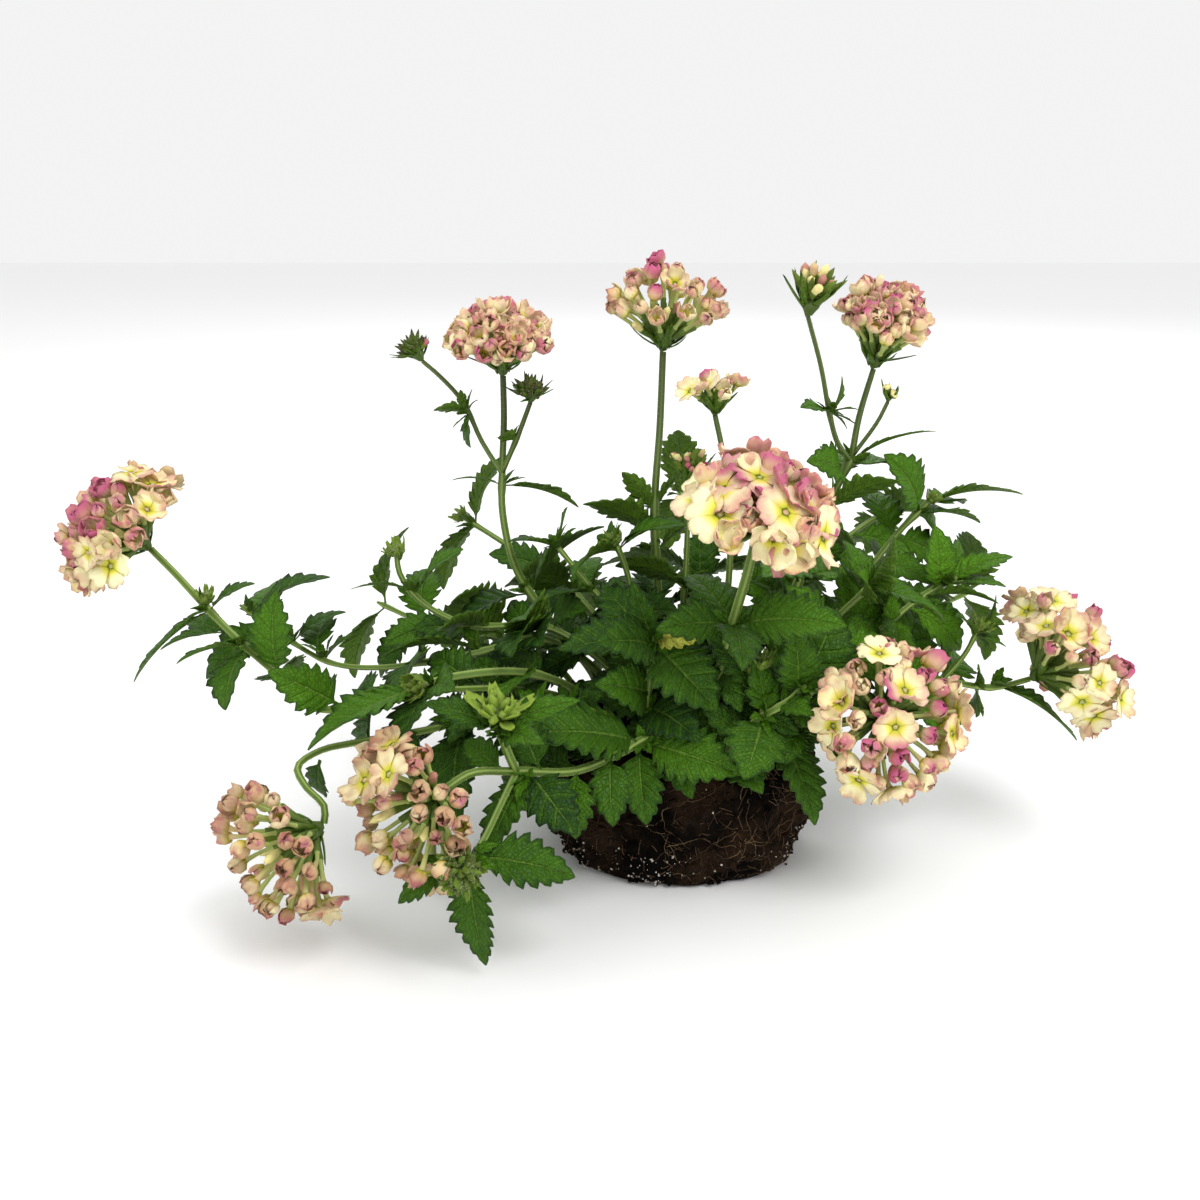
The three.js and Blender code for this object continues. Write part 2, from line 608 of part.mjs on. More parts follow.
// One leaf of an opposite pair, on one side of its stem.
function pairLeaf(stem, place, roll, length, lift) {
  const { point, along } = place;
  const across = along.clone().cross(UP);
  if (across.length() < NEARLY_PARALLEL) across.copy(RIGHT);
  across.normalize();
  const out = across.applyAxisAngle(along, roll);
  const ahead = out.multiplyScalar(Math.sin(LEAF_STEM_ANGLE))
    .addScaledVector(along, Math.cos(LEAF_STEM_ANGLE));
  ahead.z += lift;
  return makeLeaf(stem, point, ahead.normalize(), length, length * LEAF_WIDTH_RATIO);
}

// The first of some tries that runs into nothing, or else the one that runs into least.
function clearestOf(tries, placed, surroundings) {
  let best = null;
  for (const attempt of tries) {
    const shape = shapeOf(attempt);
    const hits = hitsOf(shape, placed, surroundings);
    if (!best || hits < best.hits) best = { shape, hits };
    if (hits === 0) break;
  }
  return best.shape;
}

// Leaves towards a tip, and towards places ever further round it, turned to the viewer.
function* leavesToTip(stem, root, tip, halfWidth) {
  for (const reach of TIP_TRIES) {
    for (let k = 0; k < TIP_WAYS; k += 1) {
      const way = Math.PI * (2 * k / TIP_WAYS + 0.5);
      const aside = new THREE.Vector3(Math.cos(way), -0.5 * Math.abs(Math.cos(way)),
        Math.sin(way)).multiplyScalar(reach);
      yield leafToTip(stem, root, tip.clone().add(aside), halfWidth);
    }
  }
}

// Leaves of a pair, ever further round the stem, then raised and lowered.
function* leavesOfPair(stem, place, roll, length) {
  for (const lift of LIFT_TRIES) {
    for (const turn of ROLL_TRIES) {
      yield pairLeaf(stem, place, THREE.MathUtils.degToRad(roll + turn), length, lift);
    }
  }
}

// A stem and its shoots, as steps with what grows on them. A shoot starts inside its stem.
function branchesOf(stem) {
  const main = { ...stem, stem: stem.name, steps: stepsOf(stem.route.map(vector)) };
  const shoots = (stem.shoots ?? []).map((shoot) => {
    const [start, ...rest] = shoot.route.map(vector);
    const steps = stepsOf([nearestOn(main.steps, start), ...rest]);
    return { ...shoot, stem: stem.name, steps };
  });
  return [main, ...shoots];
}

// Flower heads

function headFrame(head, base) {
  const axis = vector(head.axis).normalize();
  const [across, other] = squareTo(axis);
  return { axis, across, other, base: base.clone().addScaledVector(axis, HEAD_GAP) };
}

// Places spread evenly over a dome, from its crown down past its widest ring.
function domePlaces(head, frame, count) {
  const lowest = Math.cos(head.spread ?? DOME_SPREAD);
  const highest = Math.cos(head.hollow ?? 0);
  const heart = head.height * DOME_HEART;
  const places = [];
  for (let i = 0; i < count; i += 1) {
    const level = THREE.MathUtils.lerp(highest, lowest, (i + 0.5) / count);
    const turn = GOLDEN_ANGLE * i;
    const outward = frame.across.clone().multiplyScalar(Math.cos(turn))
      .addScaledVector(frame.other, Math.sin(turn));
    const belt = Math.sqrt(1 - level ** 2);
    const rise = heart + level * (level > 0 ? head.height - heart : heart * 0.8);
    const point = frame.base.clone().addScaledVector(frame.axis, rise)
      .addScaledVector(outward, belt * (head.width - head.radius) / 2);
    const facing = outward.clone().multiplyScalar(belt)
      .addScaledVector(frame.axis, level + DOME_LIFT).normalize();
    places.push({ point, facing, turn });
  }
  for (const place of places) {
    const apart = places.filter((other) => other !== place)
      .map((other) => other.point.distanceTo(place.point));
    place.room = Math.min(...apart) * ROOM_SHARE;
  }
  return places;
}

// Two directions square to a given one, which turn round it the right-handed way.
function squareTo(axis) {
  const aside = Math.abs(axis.z) > 0.9 ? FORWARD : UP;
  const across = axis.clone().cross(aside).normalize();
  return [across, axis.clone().cross(across).normalize()];
}

// Points round a centre, whose reach is one size, or a size for each of them.
function ringAt(centre, [across, other], count, size, turn = 0) {
  return Array.from({ length: count }, (_, i) => {
    const angle = (Math.PI * 2 * i) / count + turn;
    const reach = typeof size === 'function' ? size(i) : size;
    return centre.clone().addScaledVector(across, Math.cos(angle) * reach)
      .addScaledVector(other, Math.sin(angle) * reach);
  });
}

// A five-lobed floret on a narrow, three-sided tube.
function floretSolid(place, radius, cup, grow = 0) {
  const { point, facing, root, turn } = place;
  const plane = squareTo(facing);
  const rimCount = FLORET_LOBES * 2;
  const lobe = (i) => (i % 2 ? FLORET_NOTCH : 1);
  const spread = radius * (1 - CUP_CLOSING * cup);
  const reach = (i) => lobe(i) * spread + grow;
  const rise = cup * radius / spread;
  const rim = ringAt(point, plane, rimCount, reach, turn)
    .map((spot, i) => spot.addScaledVector(facing, reach(i) * rise));
  const eye = point.clone().addScaledVector(facing, grow);
  const back = point.clone().addScaledVector(facing, -FLORET_THICKNESS - grow);
  const throat = ringAt(back, plane, 3, TUBE_RADIUS + grow, turn);
  const foot = ringAt(root, plane, 3, TUBE_RADIUS + grow, turn);
  const points = [...rim, eye, ...throat, ...foot];
  const middle = rimCount;
  const throatAt = (i) => rimCount + 1 + (Math.round(((i + 0.5) / rimCount) * 3) % 3);
  const triangles = [];
  for (let i = 0; i < rimCount; i += 1) {
    const next = (i + 1) % rimCount;
    const before = throatAt((i + rimCount - 1) % rimCount);
    triangles.push([middle, i, next], [next, i, throatAt(i)]);
    if (before !== throatAt(i)) triangles.push([i, before, throatAt(i)]);
  }
  const first = rimCount + 1;
  for (let k = 0; k < 3; k += 1) {
    const next = (k + 1) % 3;
    triangles.push([first + 3 + k, first + 3 + next, first + next]);
    triangles.push([first + 3 + k, first + next, first + k]);
  }
  triangles.push([first + 3, first + 5, first + 4]);
  return solidFrom(points, triangles);
}

// A closed bud: slim at its root, blunt and four-sided at its tip.
function budSolid(root, tip, radius, grow = 0) {
  const along = tip.clone().sub(root).normalize();
  const belly = root.clone().lerp(tip, BUD_BELLY);
  const ring = ringAt(belly, squareTo(along), 4, radius + grow);
  const points = [root, tip.clone().addScaledVector(along, grow), ...ring];
  const triangles = [];
  for (let k = 0; k < 4; k += 1) {
    const next = (k + 1) % 4;
    triangles.push([0, 2 + next, 2 + k], [1, 2 + k, 2 + next]);
  }
  return solidFrom(points, triangles);
}

// The green seat of a head: it widens from the stem to a small dome that the tubes stand on.
function seatSolid(frame, { radius, middle }, grow = 0) {
  const profile = [[0, -grow], [SEAT_FOOT + grow, -grow], [radius + grow, middle],
    [radius * SEAT_SHOULDER + grow, middle + radius * SEAT_SHOULDER],
    [0, middle + radius + grow]];
  const seat = new THREE.LatheGeometry(profile.map(([x, y]) => new THREE.Vector2(x, y)), 6);
  seat.applyQuaternion(new THREE.Quaternion().setFromUnitVectors(FORWARD, frame.axis));
  seat.translate(frame.base.x, frame.base.y, frame.base.z);
  return solidOf(seat);
}

function headParts(head, base) {
  const frame = headFrame(head, base);
  const small = head.buds !== undefined;
  const size = small
    ? { radius: head.width * BUD_SEAT_RADIUS_SHARE, middle: head.height * BUD_SEAT_HEIGHT_SHARE }
    : { radius: SEAT_RADIUS, middle: SEAT_RADIUS };
  const heart = frame.base.clone().addScaledVector(frame.axis, size.middle);
  const parts = [{ solid: seatSolid(frame, size), swollen: () => seatSolid(frame, size, GAP) }];
  for (const place of domePlaces(head, frame, small ? head.buds : head.florets)) {
    const outward = place.point.clone().sub(heart).normalize();
    place.root = heart.clone().addScaledVector(outward, size.radius * ROOT_SHARE);
    const make = small
      ? (grow) => budSolid(place.root, place.point, head.radius, grow)
      : (grow) => floretSolid(place, Math.min(head.radius, place.room), head.cup, grow);
    parts.push({ solid: make(0), swollen: () => make(GAP) });
  }
  const middle = frame.base.clone().addScaledVector(frame.axis, head.height * 0.5);
  const ball = { centre: middle, radius: Math.max(head.width, head.height) * 0.5 + 1 };
  return { head, parts, ball, colour: small ? 'bud' : 'petal' };
}

// Root ball: a squarish lump of soil, rough all over, flat underneath.
function rootBall(feet) {
  const profile = [
    [0, 0], [BALL_FOOT_RADIUS, 0], [BALL_FOOT_RADIUS + BALL_FOOT_ROUNDING, 5],
    [BALL_TOP_RADIUS - 1, 15], [BALL_TOP_RADIUS, 28], [BALL_TOP_RADIUS, 40],
    [BALL_TOP_RADIUS - 3, BALL_RIM_HEIGHT], [BALL_TOP_RADIUS * 0.78, BALL_HEIGHT - 5],
    [BALL_TOP_RADIUS * 0.5, BALL_HEIGHT - 1.5], [BALL_TOP_RADIUS * 0.22, BALL_HEIGHT],
    [0, BALL_HEIGHT],
  ].map(([radius, height]) => new THREE.Vector2(radius, height));
  const lump = new THREE.LatheGeometry(profile, BALL_SIDES);
  lump.rotateX(Math.PI / 2);
  const places = lump.attributes.position;
  const point = new THREE.Vector3();
  for (let i = 0; i < places.count; i += 1) {
    point.fromBufferAttribute(places, i);
    const radius = Math.hypot(point.x, point.y);
    if (radius > 1e-3) {
      const turn = Math.atan2(point.y, point.x);
      const square = (Math.abs(Math.cos(turn)) ** BALL_SQUARENESS
        + Math.abs(Math.sin(turn)) ** BALL_SQUARENESS) ** (-1 / BALL_SQUARENESS);
      const rough = BALL_SIDE_WAVES.reduce((sum, { size, turns, perHeight, start }) => (
        sum + size * Math.sin(turns * turn + perHeight * point.z + start)), 1);
      const corner = THREE.MathUtils.lerp(1, square, BALL_SQUARE_SHARE) * rough;
      point.x *= corner;
      point.y *= corner * BALL_DEPTH_RATIO;
    }
    if (point.z > BALL_RIM_HEIGHT - 1) {
      point.z += BALL_TOP_WAVE * (Math.sin(0.21 * point.x + 1) + Math.sin(0.26 * point.y));
    }
    places.setXYZ(i, point.x, point.y, point.z);
  }
  let solid = solidOf(lump);
  for (const foot of feet) solid = solid.subtract(foot);
  return solid;
}

// Joins the pieces of a node and keeps the one body that holds together.
function oneBody(solid) {
  const bodies = solid.decompose();
  return bodies.reduce((best, body) => (body.volume() > best.volume() ? body : best));
}

function boxesMeet(a, b) {
  const [p, q] = [a.boundingBox(), b.boundingBox()];
  return [0, 1, 2].every((k) => p.min[k] <= q.max[k] + GAP && q.min[k] <= p.max[k] + GAP);
}

// Takes from a solid what lies in or close by other pieces.
function cutClear(solid, others) {
  let left = solid;
  for (const other of others) {
    if (boxesMeet(left, other.solid)) {
      const swollen = other.swollen();
      if (left.intersect(swollen).volume() > 0) left = left.subtract(swollen);
    }
  }
  return left;
}

// A stem as a row of points and spans, for the leaves to stay clear of.
function lineOf({ stem, steps, radii }) {
  const count = Math.ceil(steps.length / STEM_SAMPLE);
  const points = Array.from({ length: count + 1 }, (_, i) => placeOn(steps, i / count).point);
  return { stem, radius: (radii[0] + radii[1]) / 2, points,
    spans: points.slice(1).map((point, i) => [points[i], point]) };
}

// The buds on a stem: one at a node of it, one at its tip.
function stemBuds({ steps, nodeBud, tipBud }) {
  const buds = [nodeBud ?? [], [TIP_SHARE, tipBud]].filter(([, size]) => size);
  return buds.map(([share, size]) => {
    const { point, along } = placeOn(steps, share);
    const way = share < TIP_SHARE ? UP : along;
    const tip = point.clone().addScaledVector(way, size * SIDE_BUD_LENGTH);
    return { solid: budSolid(point, tip, size), swollen: () => budSolid(point, tip, size, GAP) };
  });
}

// Every node's tubes, blades and heads, placed before any is joined.
function growPlant() {
  const branches = STEMS.flatMap(branchesOf);
  const heads = [];
  const tubes = new Map(STEMS.map(({ name }) => [name, []]));
  const surroundings = { stems: [], balls: [] };
  for (const branch of branches) {
    const { steps, radii } = branch;
    tubes.get(branch.stem).push(
      { solid: tube(steps, radii), swollen: () => tube(steps, radii, GAP) },
      ...stemBuds(branch));
    surroundings.stems.push(lineOf(branch));
    if (branch.head) {
      const head = headParts(branch.head, steps.points.at(-1));
      heads.push(head);
      surroundings.balls.push(head.ball);
    }
  }
  const placed = [];
  const place = (tries) => placed.push(clearestOf(tries, placed, surroundings));
  const rootAt = ({ steps }, share) => placeOn(steps, Math.min(share, TIP_SHARE));
  for (const branch of branches) {
    for (const [share, x, y, z, halfWidth] of branch.leaves ?? []) {
      const { point } = rootAt(branch, share);
      place(leavesToTip(branch.stem, point, vector([x, y, z]), halfWidth));
    }
  }
  for (const branch of branches) {
    for (const [share, length, roll] of branch.pairs ?? []) {
      for (const half of [0, 180]) {
        place(leavesOfPair(branch.stem, rootAt(branch, share), roll + half, length));
      }
    }
  }
  return { tubes, heads, placed };
}

function meshOf(name, solid, colour) {
  const material = new THREE.MeshStandardMaterial(COLOURS[colour]);
  material.name = colour;
  const mesh = new THREE.Mesh(geometryOf(solid), material);
  mesh.name = name;
  return mesh;
}

function buildPlant() {
  const plant = new THREE.Group();
  const { tubes, heads, placed } = growPlant();
  const holes = STEMS.map(({ route, radii }) => tube(stepsOf(route.map(vector)), radii,
    HOLE_CLEARANCE, HOLE_RINGS));
  const ball = rootBall(holes);
  plant.add(meshOf('root_ball', ball, 'soil'));
  const soil = [{ solid: ball, swollen: () => ball }];

  const done = [];
  for (const [name, pieces] of tubes) {
    const blades = placed.filter(({ leaf }) => leaf.stem === name).map(({ leaf }) => ({
      solid: bladeSolid(leaf), swollen: () => bladeSolid(leaf, GAP) }));
    const otherTubes = [...tubes].filter(([other]) => other !== name).flatMap(([, list]) => list);
    const headPieces = heads.flatMap(({ parts }) => parts);
    let leafage = wasm.Manifold.union(blades.map(({ solid }) => solid));
    leafage = cutClear(leafage, [...soil, ...otherTubes, ...headPieces, ...done]);
    const whole = wasm.Manifold.union([...pieces.map(({ solid }) => solid), leafage]);
    plant.add(meshOf(name, oneBody(whole.simplify(SIMPLER_BY)), 'foliage'));
    done.push(...blades);
  }

  const allTubes = [...tubes.values()].flat();
  const earlier = [];
  for (const { head, parts, colour } of heads) {
    const joined = wasm.Manifold.union(parts.map(({ solid }) => solid));
    const clear = cutClear(joined, [...allTubes, ...earlier]);
    plant.add(meshOf(head.name, oneBody(clear.simplify(SIMPLER_BY)), colour));
    earlier.push(...parts);
  }
  return plant;
}

export default buildPlant();
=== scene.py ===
"""Trailing verbena on its bare root ball, dressed for a plain studio picture.

The plant is laid out in millimetres, as it is measured. A mesh gets its metres when a piece
is made.
"""

import logging
import math
from collections.abc import Iterator, Sequence
from dataclasses import dataclass, replace
from enum import Enum
from functools import cache

import bpy
import numpy as np
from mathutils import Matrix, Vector, noise


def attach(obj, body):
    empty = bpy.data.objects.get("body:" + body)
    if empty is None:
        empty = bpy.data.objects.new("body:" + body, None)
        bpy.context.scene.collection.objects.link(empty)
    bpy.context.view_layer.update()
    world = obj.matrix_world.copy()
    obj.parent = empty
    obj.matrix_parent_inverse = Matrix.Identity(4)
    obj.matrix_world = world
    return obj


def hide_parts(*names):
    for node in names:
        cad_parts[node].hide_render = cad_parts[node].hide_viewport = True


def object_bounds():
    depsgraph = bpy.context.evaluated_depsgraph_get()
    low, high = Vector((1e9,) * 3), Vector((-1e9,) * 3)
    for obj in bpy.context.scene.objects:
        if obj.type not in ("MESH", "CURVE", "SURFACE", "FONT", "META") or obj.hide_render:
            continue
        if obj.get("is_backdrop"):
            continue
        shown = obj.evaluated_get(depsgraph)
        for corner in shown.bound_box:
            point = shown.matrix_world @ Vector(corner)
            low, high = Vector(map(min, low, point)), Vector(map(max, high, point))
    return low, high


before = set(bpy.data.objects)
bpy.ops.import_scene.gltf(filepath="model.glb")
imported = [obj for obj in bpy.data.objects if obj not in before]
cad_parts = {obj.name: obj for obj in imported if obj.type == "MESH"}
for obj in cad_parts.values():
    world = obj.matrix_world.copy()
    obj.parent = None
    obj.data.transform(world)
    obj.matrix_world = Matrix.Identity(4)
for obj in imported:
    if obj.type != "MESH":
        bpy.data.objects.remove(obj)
CAD_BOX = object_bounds()

log = logging.getLogger("verbena")

Array = np.ndarray
Colour = tuple[int, int, int]
Material = bpy.types.Material
Point = tuple[float, float, float]
Random = np.random.Generator
Thing = bpy.types.Object

METRES = 0.001
BODY = "root"
FULL_TURN = 2 * math.pi
GOLDEN_ANGLE = math.pi * (3 - math.sqrt(5))
RIGHT, FORWARD, UP = np.eye(3)
NEARLY_PARALLEL = 0.2
STEEP = 0.9
TINY = 1e-9


# Vectors and curves

def unit(vector: Array) -> Array:
    """The same direction, one long, for a vector or for each row of several."""
    return vector / np.maximum(np.linalg.norm(vector, axis=-1, keepdims=True), TINY)


def lerp(low: float, high: float, share: float) -> float:
    """The value a share of the way from low to high."""
    return low + (high - low) * share


def held(value: float) -> float:
    """A value held between 0 and 1."""
    return float(np.clip(value, 0, 1))


def smooth(value: Array, low: float, high: float) -> Array:
    """A soft step from 0 below low to 1 above high."""
    share = np.clip((value - low) / (high - low), 0, 1)
    return share * share * (3 - 2 * share)


def turned(vector: Array, axis: Array, angle: float) -> Array:
    """A vector turned round an axis, the right-handed way."""
    return (vector * math.cos(angle) + np.cross(axis, vector) * math.sin(angle)
            + axis * float(axis @ vector) * (1 - math.cos(angle)))


def square_to(axis: Array) -> tuple[Array, Array]:
    """Two directions square to a given one, which turn round it the right-handed way."""
    across = unit(np.cross(axis, FORWARD if abs(axis[2]) > STEEP else UP))
    return across, unit(np.cross(axis, across))


def around(across: Array, other: Array, turn: Array | float) -> Array:
    """The way out at an angle in the plane of two directions, or a row of such ways."""
    return across * np.cos(turn)[..., None] + other * np.sin(turn)[..., None]


def lengths_along(points: Array) -> Array:
    """How far along a row of points each of them lies."""
    return np.concatenate([[0], np.cumsum(np.linalg.norm(np.diff(points, axis=0), axis=1))])


def frames_along(points: Array) -> tuple[Array, Array]:
    """Two ways across a row of points at each of them, which never spin.

    Args:
        points: The row.

    Returns:
        The two ways.
    """
    along = unit(np.gradient(points, axis=0))
    across = np.zeros_like(points)
    across[0] = square_to(along[0])[0]
    for i in range(1, len(points)):
        across[i] = unit(across[i - 1] - along[i] * float(across[i - 1] @ along[i]))
    return across, np.cross(along, across)


def crossings(lines: Array, faces: Array) -> Array:
    """Which lines pass through which triangles.

    Args:
        lines: The start and end of each line.
        faces: The three corners of each triangle.

    Returns:
        True or false for each line and each triangle.
    """
    start, run = lines[:, None, 0], lines[:, None, 1] - lines[:, None, 0]
    a, ab, ac = (row[None] for row in (
        faces[:, 0], faces[:, 1] - faces[:, 0], faces[:, 2] - faces[:, 0]))
    p = np.cross(run, ac)
    det = (ab * p).sum(-1)
    flat = np.abs(det) < TINY
    det = np.where(flat, 1.0, det)
    offset = start - a
    q = np.cross(offset, ab)
    u, v, t = (offset * p).sum(-1) / det, (run * q).sum(-1) / det, (ac * q).sum(-1) / det
    return ~flat & (u >= 0) & (u <= 1) & (v >= 0) & (u + v <= 1) & (t >= 0) & (t <= 1)


class Route:
    """A smooth centripetal curve through a few points, followed at an even pace."""

    DIVISIONS = 200
    POWER = 0.25

    def __init__(self, points: Sequence[Sequence[float]]) -> None:
        """Fits the curve.

        Args:
            points: The points that it passes through, in order.
        """
        rows = np.array(points, float)
        self.points = np.array([2 * rows[0] - rows[1], *rows, 2 * rows[-1] - rows[-2]])
        self.shares = np.linspace(0, 1, self.DIVISIONS + 1)
        self.lengths = lengths_along(self._at(self.shares))
        self.length = float(self.lengths[-1])

    def _at(self, shares: Array) -> Array:
        """Places on the curve by its own parameter.

        Args:
            shares: The shares of the parameter.

        Returns:
            The places.
        """
        steps = len(self.points) - 3
        index = np.minimum((shares * steps).astype(int), steps - 1)
        w = (shares * steps - index)[:, None]
        p0, p1, p2, p3 = (self.points[index + k] for k in range(4))
        d0, d1, d2 = (((a - b) ** 2).sum(-1, keepdims=True) ** self.POWER
                      for a, b in ((p0, p1), (p1, p2), (p2, p3)))
        t1 = ((p1 - p0) / d0 - (p2 - p0) / (d0 + d1) + (p2 - p1) / d1) * d1
        t2 = ((p2 - p1) / d1 - (p3 - p1) / (d1 + d2) + (p3 - p2) / d2) * d1
        return (p1 + t1 * w + (-3 * p1 + 3 * p2 - 2 * t1 - t2) * w ** 2
                + (2 * p1 - 2 * p2 + t1 + t2) * w ** 3)

    def even(self, shares: Array) -> Array:
        """The points at shares of the curve's length."""
        return self._at(np.interp(shares * self.length, self.lengths, self.shares))


# Finishes

class Wire:
    """A value in a material. The usual signs on it add Math nodes."""

    def __init__(self, shader: "Shader", socket: bpy.types.NodeSocket) -> None:
        """Holds on to a socket of a shader."""
        self.shader, self.socket = shader, socket

    def _with(self, operation: str, *values: object) -> "Wire":
        """A Math node on some values."""
        return self.shader.wire("ShaderNodeMath", {"operation": operation}, dict(enumerate(values)))

    def __add__(self, other: object) -> "Wire":
        """The sum."""
        return self._with("ADD", self, other)

    def __sub__(self, other: object) -> "Wire":
        """The difference."""
        return self._with("SUBTRACT", self, other)

    def __rsub__(self, other: object) -> "Wire":
        """The difference, from the right."""
        return self._with("SUBTRACT", other, self)

    def __mul__(self, other: object) -> "Wire":
        """The product."""
        return self._with("MULTIPLY", self, other)

    def __radd__(self, other: object) -> "Wire":
        """The sum, from the right."""
        return self._with("ADD", other, self)

    def fraction(self) -> "Wire":
        """What lies past the whole number."""
        return self._with("FRACT", self)

    def size(self) -> "Wire":
        """The value without its sign."""
        return self._with("ABSOLUTE", self)

    def capped(self) -> "Wire":
        """The value, held between 0 and 1."""
        return self._with("MAXIMUM", self._with("MINIMUM", self, 1.0), 0.0)

    def step(self, low: float, high: float) -> "Wire":
        """A soft step from 0 below low to 1 above high."""
        return self.shader.wire("ShaderNodeMapRange", {"interpolation_type": "SMOOTHSTEP"},
                                {"Value": self, "From Min": low, "From Max": high})


class Shader:
    """One material and its nodes."""

    CHANNEL = 255
    DARKEST, DARK_SCALE = 10, 12.92
    LIFT, GAMMA = 0.055, 2.4

    def __init__(self, name: str) -> None:
        """Starts an empty material.

        Args:
            name: The material's name.
        """
        self.material = bpy.data.materials.new(name)
        self.material.use_nodes = True
        self.tree = self.material.node_tree
        self.tree.nodes.clear()

    def node(self, kind: str, settings: dict[str, object], values: dict[int | str, object],
             ) -> bpy.types.Node:
        """Adds a node.

        Args:
            kind: Its type.
            settings: Its own settings, which are set first.
            values: The value or the link of each of its sockets.

        Returns:
            The node.
        """
        node = self.tree.nodes.new(kind)
        for name, value in settings.items():
            setattr(node, name, value)
        for key, value in values.items():
            if isinstance(value, Wire):
                self.tree.links.new(value.socket, node.inputs[key])
            else:
                node.inputs[key].default_value = value
        return node

    def wire(self, kind: str, settings: dict[str, object], values: dict[int | str, object],
             output: int | str = 0) -> Wire:
        """Adds a node and gives one of its outputs."""
        return Wire(self, self.node(kind, settings, values).outputs[output])

    def spread(self, name: str) -> list[Wire]:
        """The three numbers of the mesh's own attribute.

        Args:
            name: The attribute's name.

        Returns:
            The numbers.
        """
        whole = self.wire("ShaderNodeAttribute", {"attribute_name": name}, {}, "Vector")
        parts = self.node("ShaderNodeSeparateXYZ", {}, {0: whole}).outputs
        return [Wire(self, part) for part in parts]

    def place(self) -> Wire:
        """The place on the object."""
        return self.wire("ShaderNodeTexCoord", {}, {}, "Object")

    def clouds(self, per_metre: float, detail: float = 2.0, roughness: float = 0.5) -> Wire:
        """Soft noise from 0 to 1 over the object."""
        return self.wire("ShaderNodeTexNoise", {}, {"Vector": self.place(), "Scale": per_metre,
                                                    "Detail": detail, "Roughness": roughness})

    def cells(self, per_metre: float, feature: str = "F1") -> Wire:
        """The distance to the middle, or to the edge, of irregular cells."""
        return self.wire("ShaderNodeTexVoronoi", {"feature": feature},
                         {"Vector": self.place(), "Scale": per_metre}, "Distance")

    def blend(self, share: object, low: object, high: object) -> Wire:
        """A mix of two colours."""
        return self.wire("ShaderNodeMix", {"data_type": "RGBA"},
                         {0: share, 6: self.colour(low), 7: self.colour(high)}, 2)

    @classmethod
    def colour(cls, value: object) -> object:
        """A colour given as three numbers up to 255 as light, or a link as it is.

        Args:
            value: The three numbers, or the link.

        Returns:
            The colour, as a node's input takes it.
        """
        return value if isinstance(value, Wire) else (
            *(((c / cls.CHANNEL + cls.LIFT) / (1 + cls.LIFT)) ** cls.GAMMA if c > cls.DARKEST
              else c / cls.CHANNEL / cls.DARK_SCALE for c in value), 1.0)

    def finish(self, colour: Wire, roughness: object, height: Wire | None = None,
               depth: float = 0.0, shine: float = 0.5) -> Material:
        """Ends the material in one surface shader.

        Args:
            colour: Its colour.
            roughness: Its roughness, a number or a link.
            height: What its bumps follow, if it has any.
            depth: How deep they are, in metres.
            shine: How much it reflects straight on.

        Returns:
            The material.
        """
        values = {"Base Color": colour, "Roughness": roughness, "Specular IOR Level": shine}
        if height is not None:
            values["Normal"] = self.wire("ShaderNodeBump", {}, {"Strength": 1.0, "Distance": depth,
                                                                "Height": height})
        surface = self.wire("ShaderNodeBsdfPrincipled", {}, values)
        self.node("ShaderNodeOutputMaterial", {}, {0: surface})
        return self.material


@dataclass(frozen=True)
class LeafFinish:
    """Green blades with sunken, paler veins and a greyer underside."""

    deep: Colour = (10, 46, 8)
    # The bright green: young leaves, and the painted light on lit ones; it also lightens the sides
    # of the veins.
    lit_and_young: Colour = (82, 132, 6)
    vein: Colour = (122, 158, 62)
    under: Colour = (86, 120, 30)
    withered: Colour = (192, 196, 78)

    def material(self) -> Material:
        """Makes the material, with the veins drawn by the blade's own grain.

        Returns:
            The material.
        """
        s = Shader("leaf_green")
        phase, across, under = s.spread("grain")
        own, yellow, shade = s.spread("tint")
        from_vein = (phase.fraction() - 0.5).size()
        side = 1 - from_vein.step(0.03, 0.14)
        inner = 1 - across.size().step(0.75, 1.0)
        rib = 1 - across.size().step(0.025, 0.085)
        net = 1 - s.cells(620, "DISTANCE_TO_EDGE").step(0.0, 0.12)
        cloud = s.clouds(90, 3)
        # The tint's first number is the leaf's painted light and shade, with its young growth: it
        # leads from the deep green to the bright one.
        green = s.blend((own * 0.85 + cloud * 0.5 - 0.25).capped(), self.deep, self.lit_and_young)
        green = s.blend((0.5 - from_vein) * 0.35 * inner, green, self.lit_and_young)
        green = s.blend(across.size().step(0.72, 1.0) * 0.5, green, self.deep)
        veins = (side * inner * 0.12 + rib * 0.4 + net * 0.05).capped()
        face = s.blend(veins, green, self.vein)
        back = s.blend((veins * 1.2).capped(), self.under, self.vein)
        colour = s.blend(under.step(0.4, 0.6), face, back)
        colour = s.blend((yellow * (0.75 + cloud * 0.5)).capped(), colour, self.withered)
        height = (net * -0.5 - side * inner - rib * 1.2
                  - s.cells(340) * 1.3 + s.clouds(1500, 2) * 0.3)
        return s.finish(colour, 0.44 + shade * 0.14, height, 0.0006, 0.2)


@dataclass(frozen=True)
class StemFinish:
    """Pale green square stems with lighter ridges."""

    groove: Colour = (84, 114, 38)
    ridge: Colour = (148, 170, 86)
    old: Colour = (66, 78, 44)

    def material(self) -> Material:
        """Makes the material, greyer where a stem is old.

        Returns:
            The material.
        """
        s = Shader("stem_green")
        corner, _, age = s.spread("grain")
        own, _, _ = s.spread("tint")
        streak = s.clouds(420, 3)
        green = s.blend((corner.step(0.25, 0.95) * 0.8 + streak * 0.2).capped(),
                        self.groove, self.ridge)
        colour = s.blend((age * 0.75 + own * 0.3 * s.clouds(40, 1)).capped(), green, self.old)
        return s.finish(colour, 0.6, s.clouds(2400, 2), 0.00012, 0.3)


